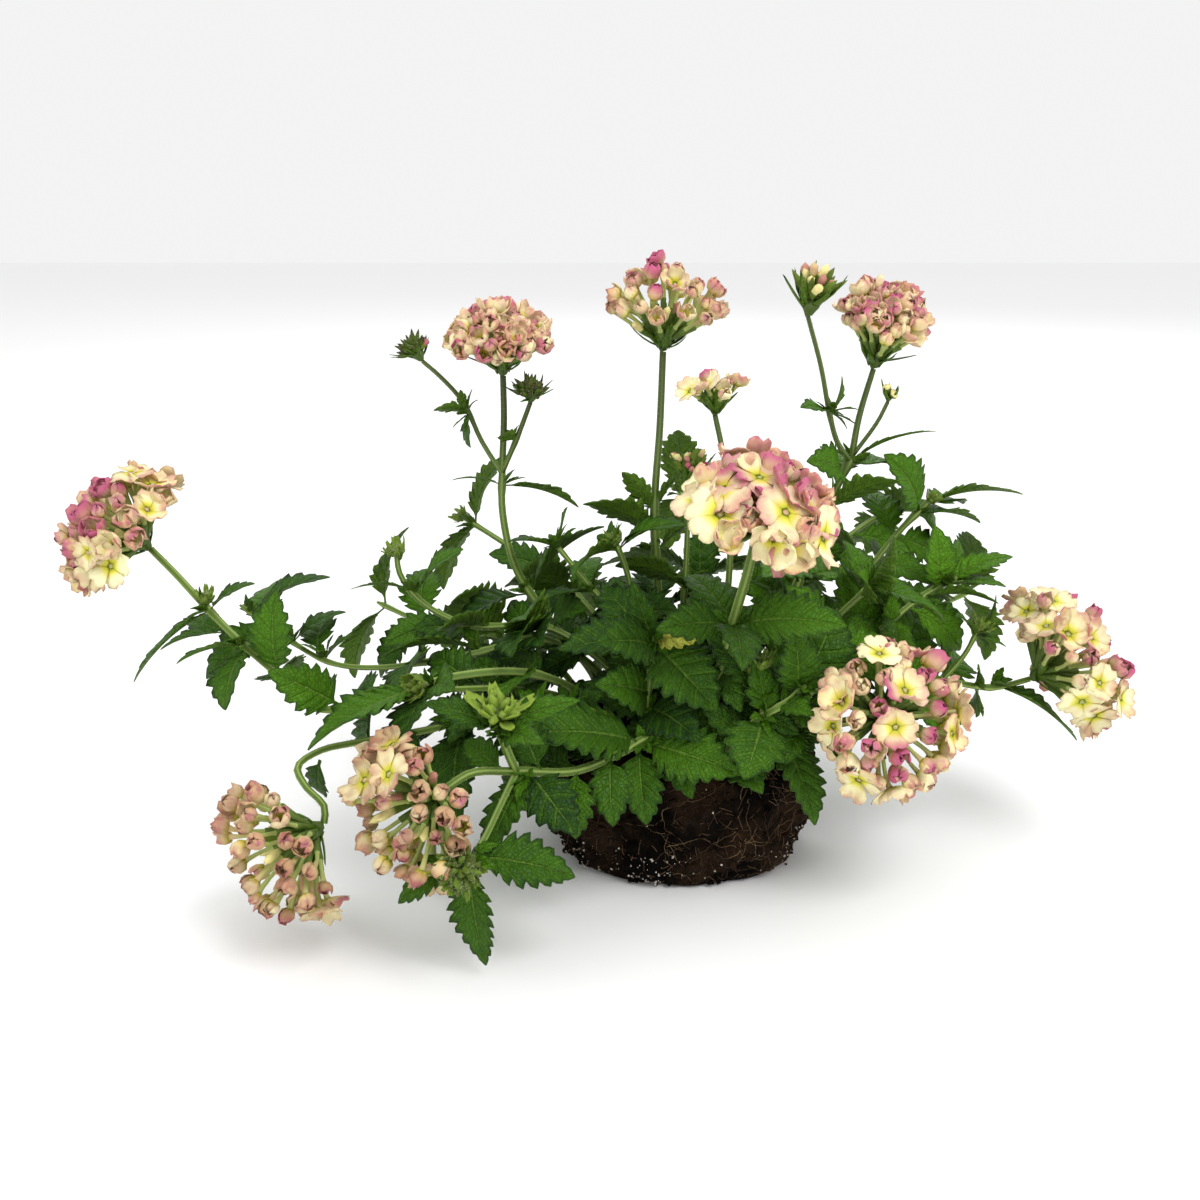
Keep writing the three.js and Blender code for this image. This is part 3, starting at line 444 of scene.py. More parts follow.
@dataclass(frozen=True)
class PetalFinish:
    """Velvety lobes: cream with a yellow star and a lime eye, blushing to peach, dusty rose and
    mauve, and magenta while young."""

    cream: Colour = (250, 246, 196)
    yellow: Colour = (240, 232, 88)
    eye: Colour = (198, 206, 58)
    throat: Colour = (104, 110, 22)
    peach: Colour = (228, 194, 138)
    rose: Colour = (200, 126, 122)
    mauve: Colour = (188, 112, 138)
    brown: Colour = (142, 100, 72)
    magenta: Colour = (166, 40, 96)
    lilac: Colour = (202, 108, 142)

    def material(self) -> Material:
        """Makes the material: the ground, the blush, the rim, which is partly painted shade, then
        what is young or spent.

        Returns:
            The material.
        """
        s = Shader("petal")
        along, across, back = s.spread("grain")
        magenta, blush, dusk = s.spread("tint")
        cloud, patch, fleck = s.clouds(150, 3), s.clouds(240, 2), s.clouds(700, 2)
        out = along.step(0.3, 0.95)
        face = s.blend(along.step(0.16, 0.5), self.yellow, self.cream)
        warm = blush * (0.1 + out * 0.75) + (cloud - 0.5) * 1.3 + back * (0.15 + blush * 0.35)
        colour = s.blend(warm.capped(), face, self.peach)
        rosy = (patch.step(0.42, 0.62) * (blush * 0.8 + back * 0.3) * (0.3 + out * 0.6)
                + back * along.step(0.3, 0.7) * blush * 0.3)
        pink = s.blend(cloud.step(0.45, 0.6), self.rose, self.mauve)
        colour = s.blend(rosy.capped(), colour, pink)
        # The rose rim is partly the lobes' own blush and partly painted shade along the edges
        # between neighbouring florets.
        rim = along.step(0.84, 1.0) * fleck.step(0.38, 0.6) * (0.3 + blush * 0.6)
        colour = s.blend(rim.capped(), colour, self.rose)
        young = s.blend((along.step(0.5, 1.0) * 0.5 + cloud * 0.5).capped(),
                        self.magenta, self.lilac)
        colour = s.blend((magenta.step(0.2, 0.8) * (0.35 + out * 0.65)).capped(), colour, young)
        colour = s.blend((dusk * (0.3 + patch * 0.8)).capped(), colour, self.brown)
        colour = s.blend((1 - along.step(0.05, 0.26)) * 0.85, colour, self.eye)
        colour = s.blend(1 - along.step(0.0, 0.09), colour, self.throat)
        height = ((across * 6 + patch * 2).fraction() - 0.5).size() * 0.5 + cloud
        return s.finish(colour, 0.62, height, 0.0003, 0.15)


@dataclass(frozen=True)
class TubeFinish:
    """A green calyx, then the pale tube that comes out of it."""

    calyx: Colour = (68, 98, 24)
    pale: Colour = (168, 182, 104)
    blush: Colour = (206, 172, 130)

    def material(self) -> Material:
        """Makes the material.

        Returns:
            The material.
        """
        s = Shader("floret_tube")
        _, along, _ = s.spread("grain")
        _, own, _ = s.spread("tint")
        tube = s.blend((along.step(0.6, 1.0) * own).capped(), self.pale, self.blush)
        green = s.blend(s.clouds(500, 2) * 0.35, self.calyx, self.pale)
        colour = s.blend(along.step(0.5, 0.53), green, tube)
        return s.finish(colour, 0.62, s.clouds(2200, 2), 0.0001, 0.25)


@dataclass(frozen=True)
class BudFinish:
    """Hairy green buds and bracts, with dark points or with cream, rosy and magenta petals."""

    green: Colour = (58, 84, 26)
    pale: Colour = (132, 156, 58)
    dark: Colour = (58, 32, 40)
    cream: Colour = (232, 222, 150)
    rosy: Colour = (184, 130, 112)
    magenta: Colour = (184, 42, 112)

    def material(self) -> Material:
        """Makes the material: what is closed, and the petals where they show.

        Returns:
            The material.
        """
        s = Shader("bud_green")
        along, _, _ = s.spread("grain")
        coloured, own, dusk = s.spread("tint")
        body = s.blend((s.clouds(600, 2) * 0.9 - 0.3 + own * 0.9).capped(), self.green, self.pale)
        closed = s.blend((along.step(0.5, 0.92) * dusk).capped(), body, self.dark)
        petal = s.blend(own.step(0.3, 0.4), self.cream, self.rosy)
        petal = s.blend(own.step(0.6, 0.7), petal, self.magenta)
        petal = s.blend(s.clouds(420, 2).step(0.5, 0.7) * 0.4, petal, self.rosy)
        colour = s.blend(along.step(0.6, 0.7) * coloured, closed, petal)
        return s.finish(colour, 0.68, s.clouds(1800, 2), 0.00015, 0.15)


@dataclass(frozen=True)
class SoilFinish:
    """Damp potting soil, nearly black, with brown fibrous patches."""

    black: Colour = (7, 5, 3)
    brown: Colour = (43, 30, 20)
    fibre: Colour = (88, 66, 45)

    def material(self) -> Material:
        """Makes the material.

        Returns:
            The material.
        """
        s = Shader("potting_soil")
        patch = s.clouds(38, 4, 0.6)
        colour = s.blend(patch.step(0.42, 0.66) * 0.9, self.black, self.brown)
        strands = s.clouds(900, 3, 0.7).step(0.55, 0.75)
        colour = s.blend((strands * patch.step(0.4, 0.6) * 0.6).capped(), colour, self.fibre)
        height = s.clouds(420, 5, 0.7) + s.cells(900) * 0.6
        return s.finish(colour, 0.95, height, 0.0009, 0.06)


@dataclass(frozen=True)
class GrainFinish:
    """White perlite, or tan roots: one colour that a cloud darkens here and there."""

    name: str
    light: Colour
    dark: Colour
    per_metre: float

    def material(self) -> Material:
        """Makes the material.

        Returns:
            The material.
        """
        s = Shader(self.name)
        colour = s.blend(s.clouds(self.per_metre, 3).step(0.4, 0.7), self.light, self.dark)
        return s.finish(colour, 0.8, s.clouds(self.per_metre * 4, 2), 0.00015, 0.3)


class Skin(Enum):
    """The finishes that a shape may wear."""

    LEAF = LeafFinish()
    STEM = StemFinish()
    PETAL = PetalFinish()
    TUBE = TubeFinish()
    BUD = BudFinish()
    HAIR = GrainFinish("pale_hair", (206, 214, 176), (160, 176, 120), 90)
    SOIL = SoilFinish()
    PERLITE = GrainFinish("perlite", (212, 206, 192), (132, 122, 106), 300)
    ROOT = GrainFinish("fine_root", (124, 102, 72), (66, 50, 35), 60)
    FIBRE = GrainFinish("peat_fibre", (84, 62, 42), (36, 26, 18), 70)

    @cache
    def material(self) -> Material:
        """Its material, made once."""
        return self.value.material()


# Meshes: blanks are modelled once with Blender's tools, then copied and bent into place

@dataclass(frozen=True)
class Stock:
    """A blank's vertices, the corners of its faces in one row, and each face's corner count."""

    places: Array
    corners: Array
    counts: Array

    def times(self, count: int) -> "Stock":
        """The faces of so many copies of it."""
        corners = self.corners + np.arange(count)[:, None] * len(self.places)
        return Stock(self.places, corners.ravel(), np.tile(self.counts, count))


class Bench:
    """Models the blanks with Blender's own tools."""

    @staticmethod
    def primitive(shape: str, **sizes: object) -> Thing:
        """Adds one of Blender's primitives, with nothing else selected.

        Args:
            shape: What its operator calls it.
            sizes: The operator's settings.

        Returns:
            The object, with its place in its mesh.
        """
        bpy.ops.object.select_all(action="DESELECT")
        getattr(bpy.ops.mesh, f"primitive_{shape}_add")(**sizes)
        bpy.ops.object.transform_apply(location=True)
        return bpy.context.object

    @classmethod
    @cache
    def blank(cls, shape: str, **sizes: object) -> Stock:
        """One of Blender's primitives as a blank, modelled once."""
        return cls.take(cls.primitive(shape, **sizes))

    @classmethod
    @cache
    def sleeve(cls, sides: int, rings: int) -> Stock:
        """A closed cylinder of radius 1 from z 0 to 1, with even rings along it, modelled once.

        Args:
            sides: How many sides its section has.
            rings: How many steps it has along its length.

        Returns:
            The blank.
        """
        obj = cls.primitive("cylinder", vertices=sides, radius=1, depth=1, location=(0, 0, 0.5),
                            end_fill_type="NGON")
        bpy.ops.object.mode_set(mode="EDIT")
        bpy.ops.mesh.select_mode(type="EDGE")
        bpy.ops.mesh.select_all(action="DESELECT")
        bpy.ops.object.mode_set(mode="OBJECT")
        for edge in obj.data.edges:
            low, high = (obj.data.vertices[index].co.z for index in edge.vertices)
            edge.select = low != high
        bpy.ops.object.mode_set(mode="EDIT")
        bpy.ops.mesh.subdivide(number_cuts=rings - 1)
        bpy.ops.object.mode_set(mode="OBJECT")
        return cls.take(obj)

    @classmethod
    def sheet(cls, places: Array, thickness: float) -> Stock:
        """Shapes a grid and gives it a thickness below its face.

        Args:
            places: Where its vertices go: rows from side to side, each with its steps along.
            thickness: How thick it gets.

        Returns:
            The blank. Its first half of vertices is the upper face, its second the lower.
        """
        across, along = places.shape[:2]
        obj = cls.primitive("grid", x_subdivisions=along - 1, y_subdivisions=across - 1, size=2)
        obj.data.vertices.foreach_set("co", places.astype(np.float32).ravel())
        obj.data.update()
        wall = obj.modifiers.new("wall", "SOLIDIFY")
        wall.thickness, wall.offset = thickness, -1
        bpy.ops.object.modifier_apply(modifier=wall.name)
        return cls.take(obj)

    @staticmethod
    def take(obj: Thing) -> Stock:
        """Reads a blank's mesh and removes its object.

        Args:
            obj: The object.

        Returns:
            The blank.
        """
        mesh = obj.data
        places = np.zeros(len(mesh.vertices) * 3, np.float32)
        corners = np.zeros(len(mesh.loops), np.int32)
        counts = np.zeros(len(mesh.polygons), np.int32)
        mesh.vertices.foreach_get("co", places)
        mesh.loops.foreach_get("vertex_index", corners)
        mesh.polygons.foreach_get("loop_total", counts)
        bpy.data.objects.remove(obj)
        bpy.data.meshes.remove(mesh)
        return Stock(places.reshape(-1, 3).astype(float), corners, counts)


class Bunch:
    """Shapes gathered into the one mesh of a piece. Each vertex has a tint, which says how its own
    shape is coloured, and a grain, which says where on that shape it lies."""

    RIDGES = 4
    GROOVE_DEPTH = 0.26
    HAIR_RADIUS = 0.075
    HAIR_SIZES = (0.6, 1.3)
    HAIR_TINT = (0.5, 0, 0)

    def __init__(self, rng: Random) -> None:
        """Starts with nothing in it."""
        self.rng = rng
        self.shapes: list[tuple[Stock, Array, Skin, Array, Array]] = []

    def add(self, stock: Stock, places: Array, skin: Skin, tint: Sequence[float],
            grain: Array | None = None) -> None:
        """Adds a copy of a blank.

        Args:
            stock: The blank, for its faces.
            places: Where its vertices go, in millimetres.
            skin: The finish that it wears.
            tint: Three numbers for the whole shape.
            grain: Three numbers for each vertex, or nothing.
        """
        tints = np.tile([*tint, 1.0], (len(places), 1))
        self.shapes.append((stock, places, skin, tints, 0 * places if grain is None else grain))

    def stalk(self, points: Array, radii: Array, sides: int, skin: Skin, tint: Sequence[float],
              squareness: float = 0.0, ages: Array | None = None) -> None:
        """Adds a round or square stalk along a row of points.

        Args:
            points: The middle of each ring.
            radii: The radius of each ring.
            sides: How many sides its section has.
            skin: Its finish.
            tint: Its tint.
            squareness: From 0, round, to 1, square with four ridges.
            ages: How old it looks at each ring, from 0 to 1, if it matters.
        """
        rings = len(points) - 1
        blank = Bench.sleeve(sides, rings)
        x, y, z = blank.places.T
        ring = np.rint(z * rings).astype(int)
        turn = np.arctan2(y, x)
        across, other = frames_along(points)
        ridge = 0.5 + 0.5 * np.cos(self.RIDGES * turn)
        radius = radii[ring] * (1 - self.GROOVE_DEPTH * squareness * (1 - ridge))
        places = points[ring] + around(across[ring], other[ring], turn) * radius[:, None]
        age = 0 * z if ages is None else ages[ring]
        self.add(blank, places, skin, tint, np.stack([ridge, z, age], -1))

    def hairs(self, roots: Array, ways: Array, length: float) -> None:
        """Adds fine pale hairs, each a slim spike.

        Args:
            roots: Where they stand.
            ways: Which way each one points.
            length: How long they are on average.
        """
        blank = Bench.blank("cone", vertices=3, depth=1, location=(0, 0, 0.5))
        sizes = length * self.rng.uniform(*self.HAIR_SIZES, len(roots))
        aside = unit(np.cross(ways, self.rng.normal(size=roots.shape)))
        axes = np.stack([aside * self.HAIR_RADIUS, np.cross(ways, aside) * self.HAIR_RADIUS,
                         ways * sizes[:, None]], 1)
        places = roots[:, None] + blank.places @ axes
        self.add(blank.times(len(roots)), places.reshape(-1, 3), Skin.HAIR, self.HAIR_TINT)

    def piece(self, name: str, slot: str, stands_for: str = "") -> None:
        """Makes the piece at the origin, with its place in its mesh.

        Args:
            name: Its name.
            slot: Not used.
            stands_for: The node that it replaces, if it does.
        """
        stocks, places, skins, tints, grains = zip(*self.shapes)
        starts = np.cumsum([0, *map(len, places)])
        corners = np.concatenate([stock.corners + start for stock, start in zip(stocks, starts)])
        counts = np.concatenate([stock.counts for stock in stocks])
        worn = list(dict.fromkeys(skins))
        dress = np.repeat([worn.index(skin) for skin in skins],
                          [len(stock.counts) for stock in stocks])
        mesh = bpy.data.meshes.new(name)
        mesh.vertices.add(int(starts[-1]))
        places = (np.concatenate(places) * METRES).astype(np.float32)
        mesh.vertices.foreach_set("co", places.ravel())
        mesh.loops.add(len(corners))
        mesh.loops.foreach_set("vertex_index", corners.astype(np.int32))
        mesh.polygons.add(len(counts))
        mesh.polygons.foreach_set("loop_start", (np.cumsum(counts) - counts).astype(np.int32))
        for skin in worn:
            mesh.materials.append(skin.material())
        mesh.polygons.foreach_set("material_index", dress.astype(np.int32))
        mesh.polygons.foreach_set("use_smooth", np.ones(len(counts), bool))
        mesh.update(calc_edges=True)
        for label, kind, key, rows in (("tint", "FLOAT_COLOR", "color", tints),
                                       ("grain", "FLOAT_VECTOR", "vector", grains)):
            attribute = mesh.attributes.new(label, kind, "POINT")
            attribute.data.foreach_set(key, np.concatenate(rows).astype(np.float32).ravel())
        obj = bpy.data.objects.new(name, mesh)
        bpy.context.scene.collection.objects.link(obj)
        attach(obj, BODY)
        if stands_for:
            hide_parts(stands_for)
        log.info("%s: %d vertices, %d triangles", name, starts[-1], (counts - 2).sum())


# The layout of the plant, as the part has it

class Bloom(Enum):
    """How far a head has come."""

    FRESH = "wide open"
    RING = "open, with a hollow heart"
    HALF = "half of it open"
    KNOBS = "mostly folded up again"
    FANNED = "folded up, few of them, in an open fan"
    LOOSE = "folded up, on long loose tubes"
    OPENING = "a few open"
    BUDS = "closed buds with dark points"
    FUZZY = "closed buds, green and very hairy"
    STAR = "closed buds among broad pale bracts"
    LONE = "one fat bud"
    SHOOT = "the bud at the end of a shoot"
    CANDLES = "slim buds that stand up, green with pale ends"


@dataclass(frozen=True)
class Head:
    """A flower head or a head of buds at the end of a branch. The part's plain head stands along
    its axis. The finished one may nod from that, to the way it faces, and be a little fuller."""

    name: str
    axis: Point
    width: float
    height: float
    bloom: Bloom
    spread: float = 1.9
    hollow: float = 0.0
    tips: float = 0.0
    faces: Point | None = None
    fuller: float = 1.0


@dataclass(frozen=True)
class Branch:
    """A route from foot to tip, with its foot and tip radius and what grows on it. A pair is place
    along the route, leaf length, roll in degrees. A leaf is place, tip x, y, z, half width."""

    radii: tuple[float, float]
    route: tuple[Point, ...]
    pairs: tuple[tuple[float, float, float], ...] = ()
    leaves: tuple[tuple[float, float, float, float, float], ...] = ()
    head: Head | None = None
    tip_bud: float = 0.0
    node_bud: tuple[float, float] | None = None


@dataclass(frozen=True)
class Stem:
    """A branch that stands in the soil, and the shoots that leave it."""

    name: str
    main: Branch
    shoots: tuple[Branch, ...] = ()


STEMS = (
    Stem("stem_left_arm", Branch(
        (2.1, 1.5),
        ((-30, -12, 45), (-36, -14, 64), (-58, -22, 80), (-88, -32, 83), (-116, -38, 76),
         (-139, -42, 74), (-152, -36, 83), (-170, -28, 96), (-184, -20, 107), (-196, -14, 118),
         (-206, -10, 127)),
        pairs=((0.5, 38, 0),),
        leaves=((0.85, -209, -35, 82, 8), (0.85, -163, -26, 118, 6), (0.76, -190, -42, 92, 7),
                (0.76, -172, -48, 76, 11), (0.22, -72, -44, 76, 10)),
        node_bud=(0.86, 3.4),
        head=Head("bloom_far_left", (-0.82, -0.25, 0.5), 56, 30, Bloom.HALF, spread=1.75,
                  faces=(-0.66, -0.3, 0.72), fuller=1.05))),
    Stem("stem_left_back", Branch(
        (1.8, 1.0),
        ((-22, 4, 46), (-30, 6, 66), (-56, 2, 86), (-85, -5, 82), (-120, -12, 79),
         (-139, -12, 81), (-157, -8, 90), (-173, -12, 105)),
        pairs=((0.3, 40, 60), (0.56, 36, 10)),
        leaves=((1.0, -139, -5, 114, 9), (0.86, -134, -3, 99, 7), (0.78, -131, -14, 92, 6),
                (0.44, -117, -24, 88, 8))),
        (Branch((0.9, 0.8), ((-157, -8, 90), (-170, -7, 91), (-181, -8, 92)),
                leaves=((1.0, -204, -16, 88, 6), (1.0, -199, 4, 92, 6))),)),
    Stem("stem_front_left", Branch(
        (1.9, 1.4),
        ((-4, -31, 42), (-6, -36, 58), (-13, -46, 65), (-25, -57, 63), (-42, -67, 60),
         (-63, -76, 64), (-78, -84, 67), (-87, -89, 63)),
        leaves=((0.3, 17, -67, 57, 12), (0.3, -62, -66, 70, 14), (0.72, -41, -86, 45, 10),
                (0.72, -72, -93, 38, 9)),
        head=Head("bloom_front_left", (-0.75, -0.55, -0.1), 56, 32, Bloom.LOOSE, hollow=0.25,
                  faces=(-0.6, -0.72, -0.12), fuller=1.06)),
        (Branch((1.7, 1.5), ((-63, -76, 64), (-66, -78, 74), (-68, -78, 83)),
                leaves=((0.9, -40, -78, 91, 6), (0.9, -94, -76, 90, 6), (0.8, -52, -98, 84, 6)),
                head=Head("bud_head_front", (0, -0.2, 1), 24, 15, Bloom.STAR)),
         Branch((1.4, 1.3), ((-63, -76, 64), (-68, -85, 55), (-73, -94, 47), (-77, -103, 44),
                             (-79, -110, 45)),
                leaves=((0.9, -73, -108, 6, 9), (0.88, -42, -100, 35, 10),
                        (0.9, -102, -104, 28, 7)),
                head=Head("bud_head_low", (-0.1, -0.9, 0.3), 20, 13, Bloom.FUZZY)))),
    Stem("stem_looped", Branch(
        (1.9, 1.3),
        ((-25, -24, 44), (-31, -29, 64), (-62, -44, 75), (-95, -52, 70), (-124, -51, 64),
         (-136, -56, 63), (-143, -63, 60), (-139, -71, 56), (-131, -78, 51), (-131, -81, 46)),
        pairs=((0.46, 40, 0),),
        leaves=((0.22, -44, -58, 78, 10), (0.3, -84, -62, 70, 10)),
        head=Head("bloom_low_left", (-0.93, -0.3, -0.22), 54, 32, Bloom.LOOSE, hollow=0.25,
                  faces=(-0.8, -0.5, -0.36), fuller=1.18))),
    Stem("stem_tall_left", Branch(
        (1.9, 1.2),
        ((-31, 14, 45), (-35, 15, 64), (-54, 15, 90), (-67, 14, 112), (-72, 15, 135),
         (-72, 18, 151), (-71, 20, 172), (-71, 20, 189)),
        pairs=((0.22, 42, 20), (0.42, 42, 90)),
        leaves=((0.72, -42, 20, 136, 8), (0.72, -92, 20, 147, 3)),
        head=Head("bloom_tall_left", (0.0, -0.18, 1), 48, 27, Bloom.KNOBS, spread=1.5)),
        (Branch((1.1, 0.9), ((-72, 18, 150), (-80, 20, 163), (-87, 22, 178), (-96, 24, 188),
                             (-103, 25, 194)),
                leaves=((0.5, -84, 14, 162, 6), (0.5, -98, 14, 176, 4)),
                head=Head("bud_head_left", (-0.5, -0.1, 0.85), 17, 12, Bloom.BUDS, spread=1.5,
                          tips=0.07)),
         Branch((1.1, 0.9), ((-72, 18, 151), (-65, 15, 167), (-60, 12, 180)),
                leaves=((0.45, -71, 6, 168, 4),),
                head=Head("bud_head_under", (0.1, -0.3, 1), 19, 10, Bloom.BUDS, spread=1.4)))),
    Stem("stem_tall_middle", Branch(
        (1.9, 1.3),
        ((-4, 18, 47), (-6, 20, 66), (-9, 21, 100), (-11, 20, 135), (-9, 26, 168),
         (-8, 30, 197)),
        pairs=((0.3, 40, 10),),
        leaves=((0.52, -39, 14, 139, 11), (0.58, -24, 12, 152, 5), (0.58, 4, 26, 152, 5),
                (0.46, 14, 34, 130, 9)),
        head=Head("bloom_tall_middle", (0.02, -0.1, 1), 56, 36, Bloom.FANNED, spread=1.6))),
    Stem("stem_small_bloom", Branch(
        (1.6, 1.0),
        ((11, 4, 47), (13, 2, 66), (17, -2, 100), (17, -8, 140), (13, -10, 166),
         (10, -10, 179)),
        head=Head("bloom_small", (0, -0.05, 1), 32, 15, Bloom.OPENING, spread=1.15))),
    Stem("stem_bud_middle", Branch(
        (1.5, 1.0), ((-4, 2, 47), (-3, 3, 66), (1, 8, 106), (2, 10, 148)),
        pairs=((0.58, 30, 130),),
        head=Head("bud_head_middle", (0.05, -0.1, 1), 19, 13, Bloom.CANDLES, spread=1.2,
                          tips=0.6))),
    Stem("stem_tall_right", Branch(
        (2.0, 1.5), ((30, 15, 46), (34, 17, 65), (50, 21, 108), (61, 22, 140), (68, 21, 157)),
        pairs=((0.52, 44, 120),),
        leaves=((0.98, 100, 20, 167, 4), (0.96, 96, 34, 147, 8), (0.8, 84, 4, 150, 8))),
        (Branch((1.3, 1.0), ((67, 21, 155), (61, 17, 163), (57, 14, 174), (52, 11, 194),
                             (46, 10, 213)),
                leaves=((0.38, 44, 6, 179, 5), (0.38, 68, 18, 184, 5)),
                head=Head("bud_head_right", (-0.15, -0.15, 1), 24, 18, Bloom.CANDLES, spread=1.1,
                          tips=0.45, faces=(0.15, -0.15, 1))),
         Branch((1.4, 1.1), ((68, 21, 156), (70, 23, 172), (75, 25, 191)),
                head=Head("bloom_tall_right", (0.12, -0.15, 1), 44, 33, Bloom.KNOBS, spread=1.35)),
         Branch((0.9, 0.8), ((69, 21, 162), (76, 15, 172), (79, 13, 180)),
                head=Head("bud_head_under_right", (0.1, -0.2, 1), 9, 6, Bloom.LONE, tips=1.0)))),
    Stem("stem_front_bloom", Branch(
        (2.2, 1.7),
        ((7, -29, 45), (9, -33, 64), (12, -44, 92), (15, -52, 112), (19, -57, 132),
         (21, -60, 144)),
        pairs=((0.66, 30, 100),),
        leaves=((0.66, -13, -60, 112, 9), (0.66, 54, -60, 114, 12)),
        head=Head("bloom_front", (0.12, -0.62, 0.76), 62, 27, Bloom.FRESH, spread=1.55,
                  faces=(0.16, -0.34, 0.93)))),
    Stem("stem_low_right", Branch(
        (1.9, 1.5), ((22, -27, 45), (26, -33, 61), (36, -46, 70), (52, -51, 72), (68, -50, 74)),
        leaves=((0.42, 46, -64, 37, 11), (0.62, 60, -68, 62, 8)),
        head=Head("bloom_low_right", (0.6, -0.78, 0.05), 62, 26, Bloom.RING, hollow=0.32,
                  faces=(0.42, -0.85, 0.27), fuller=1.05))),
    Stem("stem_far_right", Branch(
        (1.9, 1.3),
        ((40, 2, 46), (46, 2, 62), (70, -2, 73), (100, -6, 72), (124, -8, 69), (138, -9, 73)),
        pairs=((0.5, 40, 60),),
        leaves=((0.86, 158, -12, 48, 9),),
        head=Head("bloom_far_right", (0.72, 0.3, 0.4), 62, 32, Bloom.HALF, spread=2.1,
                  faces=(0.82, -0.02, 0.56), fuller=1.1)),
        (Branch((1.1, 0.9), ((104, -6, 72), (111, -9, 83), (115, -11, 94)),
                leaves=((0.9, 104, -18, 103, 5), (0.9, 128, -6, 98, 5)), tip_bud=3.4),)),
    Stem("stem_right_upper", Branch(
        (1.9, 1.2), ((42, 17, 45), (48, 19, 62), (70, 24, 96), (90, 27, 124), (103, 28, 138)),
        pairs=((0.36, 42, 90), (0.62, 41, 10)),
        leaves=((1.0, 138, 25, 140, 9), (1.0, 124, 44, 138, 8), (0.92, 124, 34, 126, 9),
                (0.9, 90, 56, 146, 9)), tip_bud=3)),
    Stem("stem_right_side", Branch(
        (1.8, 1.1), ((37, -12, 45), (44, -13, 61), (70, -8, 86), (94, 0, 104), (106, 2, 111)),
        pairs=((0.36, 40, 20),),
        leaves=((0.72, 80, -24, 84, 11), (1.0, 132, 10, 118, 7), (0.95, 127, -2, 109, 6),
                (0.88, 123, -14, 104, 6), (0.95, 114, 22, 121, 6)), tip_bud=2.8)),
    Stem("stem_right_middle", Branch(
        (1.9, 1.2), ((28, -11, 46), (32, -15, 64), (46, -22, 90), (60, -22, 106), (71, -20, 116)),
        pairs=((0.4, 40, 60),),
        leaves=((1.0, 97, -30, 104, 13), (0.95, 80, -34, 132, 12), (0.95, 62, -2, 128, 9)))),
    Stem("stem_front_right", Branch(
        (2.0, 1.4), ((13, -38, 43), (16, -45, 60), (25, -53, 74), (36, -56, 83), (42, -54, 88)),
        leaves=((0.95, 54, -40, 112, 15), (0.95, 76, -36, 96, 14), (0.66, 19, -72, 59, 13),
                (0.8, 54, -64, 62, 7))),
        (Branch((1.2, 1.0), ((27, -54, 76), (26, -53, 85), (25, -52, 91)),
                leaves=((0.5, 7, -46, 105, 8),), tip_bud=4.6),)),
    Stem("stem_back_left", Branch(
        (1.8, 1.1), ((-17, 30, 46), (-22, 36, 64), (-48, 62, 90), (-78, 84, 104), (-98, 100, 112)),
        pairs=((0.45, 46, 30), (0.92, 36, 110)), tip_bud=3.2)),
    Stem("stem_back_middle", Branch(
        (1.8, 1.1), ((6, 36, 45), (8, 44, 64), (12, 74, 94), (8, 104, 112), (4, 124, 120)),
        pairs=((0.5, 46, 10), (0.94, 36, 90)), tip_bud=3.2)),
    Stem("stem_back_right", Branch(
        (1.8, 1.1), ((27, 30, 46), (32, 38, 64), (58, 66, 92), (84, 88, 108), (102, 98, 116)),
        pairs=((0.45, 46, 60), (0.92, 36, 140)), tip_bud=3.2)),
    Stem("stem_back_low_left", Branch(
        (1.8, 1.2), ((-40, 22, 45), (-48, 28, 61), (-78, 44, 72), (-108, 54, 74), (-132, 62, 82)),
        pairs=((0.45, 46, 60), (0.96, 38, 100)))),
    Stem("stem_back_low_right", Branch(
        (1.8, 1.2), ((46, 30, 44), (54, 38, 60), (84, 56, 74), (112, 66, 76), (134, 72, 84)),
        pairs=((0.45, 46, 60), (0.96, 38, 100)))),
    Stem("stem_left_bud", Branch(
        (1.7, 1.1),
        ((-14, -8, 47), (-20, -8, 66), (-52, -3, 92), (-86, 2, 92), (-104, 1, 102),
         (-112, 0, 114), (-113, 0, 124)),
        pairs=((0.46, 38, 110),),
        leaves=((0.86, -86, -6, 126, 8), (0.86, -130, -8, 110, 4), (0.62, -104, -14, 96, 11),
                (0.34, -44, -24, 92, 10)), tip_bud=3.4)),
    Stem("stem_left_middle", Branch(
        (1.8, 1.3), ((-40, 0, 45), (-46, -3, 61), (-70, -22, 74), (-90, -40, 81), (-99, -50, 86)),
        pairs=((0.5, 40, 30),),
        leaves=((0.93, -138, -66, 68, 14), (0.93, -104, -70, 62, 11), (0.93, -84, -68, 84, 8)),
        tip_bud=4.4)),
    Stem("stem_rosette", Branch(
        (1.6, 1.1), ((-16, 12, 47), (-18, 10, 66), (-19, 7, 94), (-22, 6, 112), (-27, 5, 126)),
        pairs=((0.95, 30, 100),), tip_bud=3.2),
        (Branch((1.2, 1.0), ((-19, 8, 88), (-32, 3, 102), (-42, 4, 114), (-50, 5, 124)),
                leaves=((1.0, -69, 3, 126, 7), (1.0, -46, 2, 140, 6), (0.5, -56, -6, 104, 9))),)),
    Stem("stem_centre_front", Branch(
        (1.8, 1.2), ((-13, -28, 45), (-15, -31, 64), (-14, -33, 84), (-13, -34, 100)),
        pairs=((0.45, 36, 110),),
        leaves=((0.95, 9, -57, 79, 14), (0.95, -48, -40, 96, 11), (0.95, -21, -36, 122, 6)))),
)


# Leaves and the rule that keeps them clear of each other

def level(vector: Array) -> Array:
    """The part of a vector that lies level."""
    return vector * (RIGHT + FORWARD)


